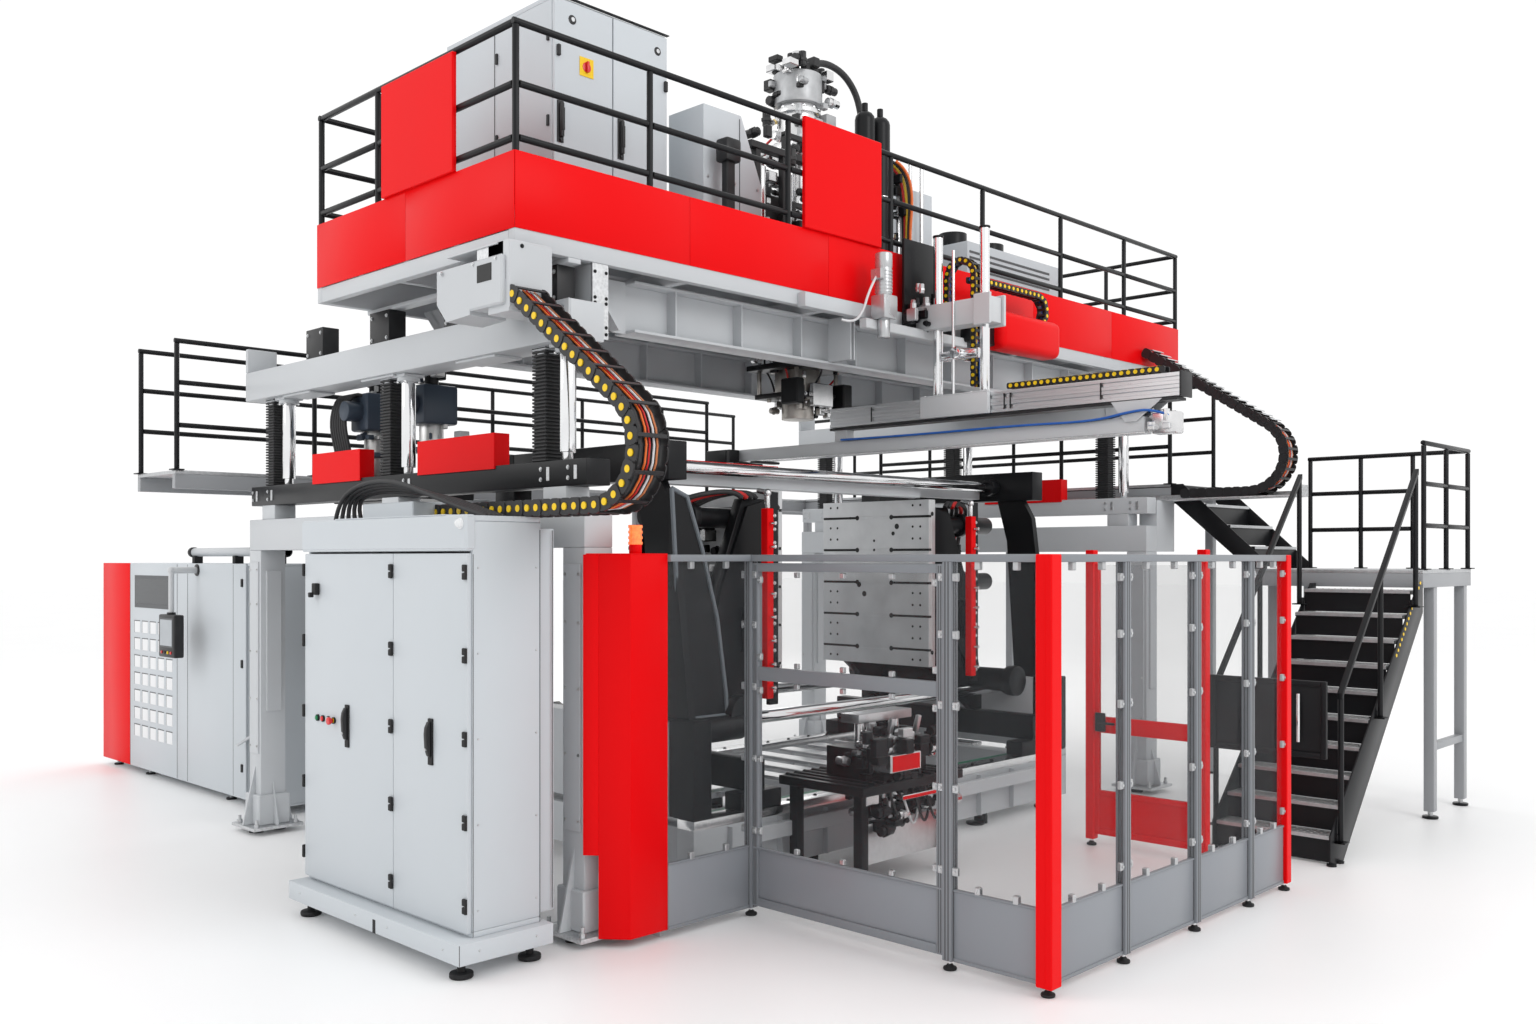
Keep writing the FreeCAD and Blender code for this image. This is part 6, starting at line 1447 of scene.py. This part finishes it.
middle = (stack[0][0] + stack[0][1]) / 2
bar(lamp, (middle.x, middle.y, stack[0][0].z), (middle.x, middle.y, stack[0][1].z), 0.036, 1, 24, edge=0.004)
for step in range(7):
    z = stack[1][0].z + step * 0.0155
    bar(lamp, (middle.x, middle.y, z), (middle.x, middle.y, z + 0.0155), 0.036 if step % 2 else 0.041, 2, 24)
bar(lamp, (middle.x, middle.y, stack[1][1].z - 0.004), (middle.x, middle.y, stack[1][1].z), 0.040, 1, 24,
    edge=0.002)
in_place("lamp_set", lamp, [dome_white, red_paint, amber], "line_frame", "signal_lamps")

# ------------------------------------------------------------------ energy chains of the lift and traverse
# Two big plastic chains carry hoses and cables from the floor side to the moving platform. Side links
# have bright pivots, cross bars close them, and a pale sheet housing takes the upper end.
tray = recast("chain_trays", 0.003, lambda a, b: 0 if b.z - a.z < 0.05 else 1)
low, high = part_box("chain_trays")
slab(tray, (low.x + 0.08, low.y - 0.004, 2.685), (high.x, low.y + 0.004, 2.79), 0.002)
slab(tray, (high.x - 0.006, low.y, 2.69), (high.x, high.y, 2.745), 0.002)
in_place("chain_tray_sheets", tray, [zinc, frame_grey], "line_frame", "chain_trays")
copper = wire_finish("copper_cable", (0.62, 0.20, 0.07))
bundle = ((-0.80, 0.008, 0.015, 3), (-0.52, -0.008, 0.016, 3), (-0.30, 0.016, 0.006, 4),
          (-0.18, 0.002, 0.013, 3),
          (-0.02, 0.016, 0.005, 5), (0.14, -0.004, 0.014, 3), (0.34, 0.016, 0.006, 7),
          (0.48, 0.000, 0.013, 3), (0.66, 0.012, 0.006, 6), (0.86, -0.002, 0.014, 3))
chain_kit = [black_plastic, yellow, black_plastic, rubber, orange_wire, red_wire, copper, white_wire,
             pale_metal]


def loop_path(x, start_y, bend_y, bend_z, radius, slope, end_y):
    """Middle line of a chain: along the floor side, round the bend and up the slope."""
    angle = math.radians(slope)
    path = [(x, start_y, bend_z - radius), (x, bend_y, bend_z - radius)]
    turns = 14
    for step in range(1, turns + 1):
        t = (math.pi - angle) * step / turns
        path.append((x, bend_y - radius * math.sin(t), bend_z - radius * math.cos(t)))
    last = path[-1]
    path.append((x, end_y, last[2] + (end_y - last[1]) * math.tan(angle)))
    return path


def cut_path(path, level):
    """The parts of a path before and after it first climbs past a level."""
    for place, (first, second) in enumerate(zip(path, path[1:])):
        if place > 1 and first[2] < level <= second[2]:
            share = (level - first[2]) / (second[2] - first[2])
            spot = tuple(a + (b - a) * share for a, b in zip(first, second))
            return path[:place + 1] + [spot], [spot] + path[place + 1:]


wide, tall, pitch = 0.215, 0.088, 0.083
left_level, right_level, right_slope = 2.70, 3.06, 33
left_path = loop_path(-3.87, -2.10, -3.785, left_level, 0.285, 36, -3.04)
right_path = loop_path(3.28, -3.33, -3.97, right_level, 0.315, right_slope, -2.95)
for word, path, level, dot, cross, floor in (("left", left_path, left_level, 0.019, 2, 2.42),
                                             ("right", right_path, right_level, 0.0, 1, 2.745)):
    lower, upper = cut_path(path, level)
    first = chain(bmesh.new(), lower, (1, 0, 0), wide, tall, pitch, dot, cross, bundle)
    piece = finished(f"{word}_chain_lower", first, chain_kit, None, "chain_lower_runs")
    floor + 0.03
    level - 0.02
    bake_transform(piece)
    second = chain(bmesh.new(), upper, (1, 0, 0), wide, tall, pitch, dot, cross, bundle)
    if word == "right":
        a, b = Vector(upper[-1]), Vector(upper[-2])
        way = (a - b).normalized()
        for step in range(16):
            spot = b + (a - b) * (step / 16)
            slab(second, spot - Vector((0.098, 0.012, 0.0)) + Vector((0, -0.03, 0.045)),
                 spot + Vector((0.098, 0.012, 0.006)) + Vector((0, -0.03, 0.045)),
                 0.002, 8, turn=Matrix.Rotation(math.radians(right_slope), 4, "X"))
    upper_piece = finished(f"{word}_chain_upper", second, chain_kit, None, "chain_upper_runs")
    level + 0.05
    upper[-1][2] - 0.12
    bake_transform(upper_piece)
    if word == "left":
        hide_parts("chain_lower_runs")
        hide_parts("chain_upper_runs")
ends = bmesh.new()
slab(ends, (-4.01, -3.02, 3.52), (-3.74, -2.70, 3.79), 0.010, 0)
# near-black patches on two faces: painted shade in the open windows
slab(ends, (-4.013, -2.93, 3.66), (-4.008, -2.79, 3.755), 0.002, 1)
slab(ends, (-3.98, -3.023, 3.655), (-3.80, -3.018, 3.76), 0.002, 1)
side_y = ((-2.70, 3.79), (-2.36, 3.79), (-2.36, 3.60), (-2.46, 3.49), (-2.70, 3.50))
plate(ends, [(-4.00, y, z) for y, z in side_y], (0.24, 0, 0), 0)
for y in (-2.97, -2.75, -2.42):
    bolt(ends, (-4.01, y, 3.77), (-1, 0, 0), 0.008, 2)
for x in (-3.98, -3.80):
    slab(ends, (x, -3.00, 3.78), (x + 0.03, -2.74, 3.868), 0.003, 2)
slab(ends, (-3.99, -2.95, 3.855), (-3.74, -2.45, 3.868), 0.002, 0)
finished("chain_end_housing", ends, [frame_grey, hole_shade_black, zinc], "platform", "platform_frame")

# ------------------------------------------------------------------ machinery between the lift columns
# Lift gearboxes, valve blocks and hoses stand on the rear headers behind the red guard plates.
random.seed(11)
blue_grey = paint("blue_grey_paint", (0.055, 0.075, 0.105), 0.36, 0.12)
gear = bmesh.new()
for x, y in ((-3.08, 0.02), (-3.05, -0.72)):
    slab(gear, (x - 0.14, y - 0.13, 3.10), (x + 0.14, y + 0.13, 3.38), 0.020, 0, 2)
    bar(gear, (x, y, 2.72), (x, y, 3.11), 0.085, 1, 24, edge=0.006)
    bar(gear, (x, y, 2.90), (x, y, 2.94), 0.125, 0, 24, edge=0.006)
    bar(gear, (x - 0.26, y, 3.24), (x - 0.12, y, 3.24), 0.075, 0, 24, edge=0.008)
    bar(gear, (x, y, 3.36), (x, y, 3.54), 0.050, 2, 20, edge=0.004)
    fittings(gear, (x - 0.12, y - 0.16, 3.0), (x + 0.1, y + 0.16, 3.5), 14, 0.10, (0, 1, 2, 2))
slab(gear, (-3.28, -0.98, 2.56), (-2.86, 0.30, 2.72), 0.008, 2)
slab(gear, (-2.98, -0.98, 2.72), (-2.90, -0.90, 3.05), 0.004, 3)
finished("lift_gearboxes", gear, [blue_grey, steel, black_paint, frame_grey], "line_frame", "portal_frame")
for place in range(7):
    y = 0.16 - 0.035 * place
    route = [(-3.16, y, 3.32), (-3.26, y + 0.05, 3.42), (-3.33, y + 0.10, 3.20), (-3.30, y + 0.06, 2.95),
             (-3.26, y + 0.02, 2.72)]
    cable(f"lift_hose_{place}", route, 0.013, rubber, "line_frame")

# ------------------------------------------------------------------ blower station behind the near portal
# Between the two rear columns stands a low pale cubicle; over it a dark frame holds the pump drives
# and coiled hoses.
dark_brown = paint("dark_machine_paint", (0.035, 0.022, 0.018), 0.42, 0.2)
station = bmesh.new()
slab(station, (-3.02, -0.55, 0.05), (-2.45, 1.02, 1.12), 0.010, 0)
slab(station, (-3.0, -0.55, 1.12), (-2.5, 1.02, 2.14), 0.006, 1)
for step in range(5):
    slab(station, (-3.024, -0.40 + step * 0.30, 0.16), (-3.019, -0.16 + step * 0.30, 0.98), 0.003, 0)
fittings(station, (-3.10, -0.45, 1.18), (-3.01, 0.95, 2.1), 46, 0.16, (1, 2, 2, 3))
finished("blower_station", station, [pale_metal, dark_brown, black_paint, steel], "line_frame",
         "machine_base")
for place in range(6):
    y = 0.85 - 0.26 * place
    route = [(-3.05, y, 2.05), (-3.16, y - 0.05, 1.85), (-3.20, y - 0.20, 1.55), (-3.16, y - 0.38, 1.40),
             (-3.08, y - 0.50, 1.60), (-3.02, y - 0.52, 1.80)]
    cable(f"blower_hose_{place}", route, 0.022, rubber, "line_frame")

# ------------------------------------------------------------------ service stairs and walkways
# Black folded stringers, galvanised treads with a bright pressed nosing, grey beams and legs under the
# walkways, and round black hand rails.
beam_grey = paint("walkway_grey_paint", (0.33, 0.34, 0.355), 0.38, 0.08)
galvanised = Finish("galvanised_grating", Metallic=0.9)
flake = galvanised.noise(30.0, 4.0)
galvanised.set(Base_Color=galvanised.between(flake, (0.42, 0.43, 0.44), (0.66, 0.67, 0.68)),
               Roughness=0.35 + flake * 0.2)


def stair_part(a, b):
    """0 black stringers, 1 treads, 2 beams and legs, 3 walkway plates, None for feet."""
    size = b - a
    if size.z < 0.035 and size.x < 1.2 and a.z > 0.05:
        return 1
    if size.z < 0.035 and a.z > 1.9:
        return 3
    if b.z < 0.062:
        return None
    return 0 if min(size) < 0.015 and size.z > 0.5 else 2


steps = recast("stairs", 0.003, stair_part)
for low, high in boxes("stairs"):
    kind = stair_part(low, high)
    middle = (low + high) / 2
    if kind == 1:
        lengthways = high.y - low.y > high.x - low.x
        slab(steps, (low.x + 0.004, low.y + 0.004, high.z), (high.x - 0.004, high.y - 0.004, high.z + 0.004),
             0.001, 3)
        if lengthways:
            slab(steps, (low.x + 0.012, low.y + 0.004, low.z - 0.15), (low.x + 0.018, high.y - 0.004, low.z),
                 0)
            slab(steps, (low.x - 0.002, low.y + 0.004, high.z - 0.022),
                 (low.x + 0.002, high.y - 0.004, high.z + 0.004), 0.001, 3)
            for row in range(3):
                for place in range(16):
                    x = low.x + 0.035 + row * 0.06
                    y = low.y + 0.05 + place * (high.y - low.y - 0.1) / 15
                    bar(steps, (x, y, high.z), (x, y, high.z + 0.007), 0.012, 4, 8, tip=0.007)
        else:
            slab(steps, (low.x + 0.004, low.y + 0.012, low.z - 0.15), (high.x - 0.004, low.y + 0.018, low.z),
                 0)
            slab(steps, (low.x + 0.004, low.y - 0.002, high.z - 0.022),
                 (high.x - 0.004, low.y + 0.002, high.z + 0.004), 0.001, 3)
    elif kind is None:
        bar(steps, (middle.x, middle.y, 0), (middle.x, middle.y, 0.022), 0.062, 0, 20, edge=0.006)
        bar(steps, (middle.x, middle.y, 0.02), (middle.x, middle.y, high.z), 0.020, 3, 12)
for step in range(15):
    share = step / 14
    x, z = 2.55 + 0.55 * share, 1.40 + 0.55 * share
    bar(steps, (x - 0.05, -5.434, z), (x - 0.05, -5.429, z), 0.013, 5, 10)
for y in (-5.43, -4.57):
    for x in (1.20, 1.34):
        bar(steps, (x, y, 0), (x, y, 0.018), 0.034, 0, 18, edge=0.005)
in_place("stair_flights", steps, [black_paint, black_paint, beam_grey, galvanised, steel, yellow],
         "line_frame", "stairs")


def straight(a, b):
    size = sorted(b - a)
    return size[1] < 0.06


hand = recast("stair_railings", 0.004, lambda a, b: None if straight(a, b) else 0)
for low, high in boxes("stair_railings"):
    if straight(low, high):
        rail_tube(hand, low, high, 0.045, 0.010)
in_place("hand_rails", hand, [black_paint], "line_frame", "stair_railings")
gate = recast("stair_gate", 0.005)
low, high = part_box("stair_gate")
for y in (low.y + 0.30, low.y + 0.36):
    slab(gate, (low.x - 0.004, y, 0.79), (low.x + 0.004, y + 0.02, 1.25), 0.003, 0)
bar(gate, (low.x - 0.030, low.y + 0.18, 0.86), (low.x - 0.030, low.y + 0.18, 1.20), 0.014, 1, 16, edge=0.003)
for z in (0.90, 1.16):
    bar(gate, (low.x - 0.030, low.y + 0.18, z), (low.x + 0.004, low.y + 0.18, z), 0.009, 1, 12)
in_place("stair_gate_wing", gate, [black_paint, chrome], "stair_foot_gate", "stair_gate")

# ------------------------------------------------------------------ handling unit and operator screen
# A run of sheet enclosures: red end panel, a lattice bay with a window, a plain bay with a tall recess
# and chute. A round arm on its roof carries the operator's screen.
open_white = paint("pale_opening", (0.80, 0.81, 0.82), 0.5, 0.03)
unit = recast("handling_unit", 0.006,
              lambda a, b: None if b.z < 0.08 else
              (1 if a.y > 4.7 and b.y > 5 and b.x < -3.1 else (3 if b.x < -2.3 and a.x < -3.2 else 0)))
face = -3.19
for low, high in boxes("handling_unit"):
    if high.z < 0.08:
        middle = (low + high) / 2
        bar(unit, (middle.x, middle.y, 0), (middle.x, middle.y, 0.018), 0.045, 2, 18, edge=0.005)
        bar(unit, (middle.x, middle.y, 0.016), (middle.x, middle.y, 0.072), 0.016, 3, 12)
# lattice bay: pale cells, each with a dark strip along its top and one side, the painted shadow of the
# lattice bars
for row in range(7):
    for place in range(5):
        y0 = 3.66 + place * 0.205
        z0 = 0.38 + row * 0.172
        slab(unit, (face - 0.0025, y0, z0), (face + 0.002, y0 + 0.150, z0 + 0.120), 0.001, 4)
        slab(unit, (face - 0.003, y0, z0 + 0.112), (face + 0.001, y0 + 0.150, z0 + 0.120), 0, 5)
        slab(unit, (face - 0.003, y0 + 0.142, z0), (face + 0.001, y0 + 0.150, z0 + 0.120), 0, 5)
# dark band round the window: painted shade in its recess
slab(unit, (face - 0.003, 3.66, 1.66), (face + 0.002, 4.62, 1.98), 0.004, 5)
slab(unit, (face - 0.005, 3.70, 1.70), (face + 0.001, 4.58, 1.94), 0.004, 6)
# thin dark lines: painted shade in the seams between the bays
for y in (3.548, 4.748):
    slab(unit, (face - 0.001, y - 0.003, 0.08), (face + 0.002, y + 0.003, 2.09), 0, 5)
for y in (2.30, 3.30):
    slab(unit, (face - 0.002, y, 0.08), (face + 0.001, y + 0.003, 2.09), 0, 5)
for z in (0.30, 1.2, 1.9):
    slab(unit, (face - 0.012, 2.10, z), (face, 2.13, z + 0.07), 0.003, 2)
for y in (1.75, 2.60, 3.50):
    slab(unit, (-3.06, y - 0.03, 2.10), (-2.98, y + 0.03, 2.17), 0.004, 2)
pipe_z = 2.205
bar(unit, (-3.02, 1.62, pipe_z), (-3.02, 3.62, pipe_z), 0.040, 3, 20, edge=0.005)
for y in (1.62, 3.56):
    bar(unit, (-3.02, y, pipe_z), (-3.02, y + 0.06, pipe_z), 0.048, 2, 20, edge=0.005)
window = paint("dark_window", (0.05, 0.055, 0.06), 0.12, 0.1)
for y in (1.62, 1.78):
    slab(unit, (face - 0.02, y - 0.05, 1.30), (face + 0.001, y + 0.03, 1.44), 0.006, 2)
slab(unit, (face - 0.003, 1.55, 0.55), (face + 0.001, 1.90, 1.00), 0.003, 3)
in_place("handling_enclosures", unit, [cabinet_grey, red_paint, rubber_pad, frame_grey, open_white,
                                       gap_shadow_grey, window],
         "line_frame", "handling_unit")
pivot_y = 3.08
neck = recast("screen_arm", 0.006, lambda a, b: None)
low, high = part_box("screen_arm")
bar(neck, (-3.19, pivot_y, 2.04), (-3.42, pivot_y, 2.04), 0.030, 0, 20, edge=0.004)
ball(neck, (-3.42, pivot_y, 2.04), 0.034, 0, sides=18)
bar(neck, (-3.42, pivot_y, 2.04), (-3.42, pivot_y, low.z), 0.024, 0, 20)
bar(neck, (-3.20, pivot_y, 2.04), (-3.185, pivot_y, 2.04), 0.055, 1, 20, edge=0.004)
in_place("screen_arm_tube", neck, [pale_metal, black_plastic], "line_frame", "screen_arm")
low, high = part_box("screen_panel")
screen = bmesh.new()
slab(screen, (low.x, low.y, low.z), (high.x, high.y, high.z - 0.02), 0.014, 0, 3)
# dark grey band round the display: painted shade in the bezel's recess
slab(screen, (low.x - 0.003, low.y + 0.03, low.z + 0.09), (low.x + 0.004, high.y - 0.03, high.z - 0.05),
     0.004, 1)
slab(screen, (low.x - 0.005, low.y + 0.045, low.z + 0.105), (low.x + 0.001, high.y - 0.045, high.z - 0.065),
     0.002, 2)
for place, index in enumerate((3, 4, 0, 3)):
    y = low.y + 0.07 + place * 0.07
    bar(screen, (low.x - 0.008, y, low.z + 0.045), (low.x + 0.002, y, low.z + 0.045), 0.014, index, 16,
        edge=0.002)
bar(screen, ((low.x + high.x) / 2, pivot_y, high.z - 0.03), ((low.x + high.x) / 2, pivot_y, high.z), 0.038,
    0, 20, edge=0.003)
display = Finish("screen_glass", Emission_Strength=0.25)
display.set(Base_Color=display.between(display.noise(2.5), (0.20, 0.22, 0.24), (0.34, 0.36, 0.38)),
            Roughness=0.10 + display.noise(5.0) * 0.05,
            Emission_Color=display.between(display.noise(2.5), (0.3, 0.33, 0.36), (0.5, 0.53, 0.56)))
in_place("operator_screen", screen, [black_plastic, gap_shadow_grey, display, red_plastic, yellow], "screen",
         "screen_panel")
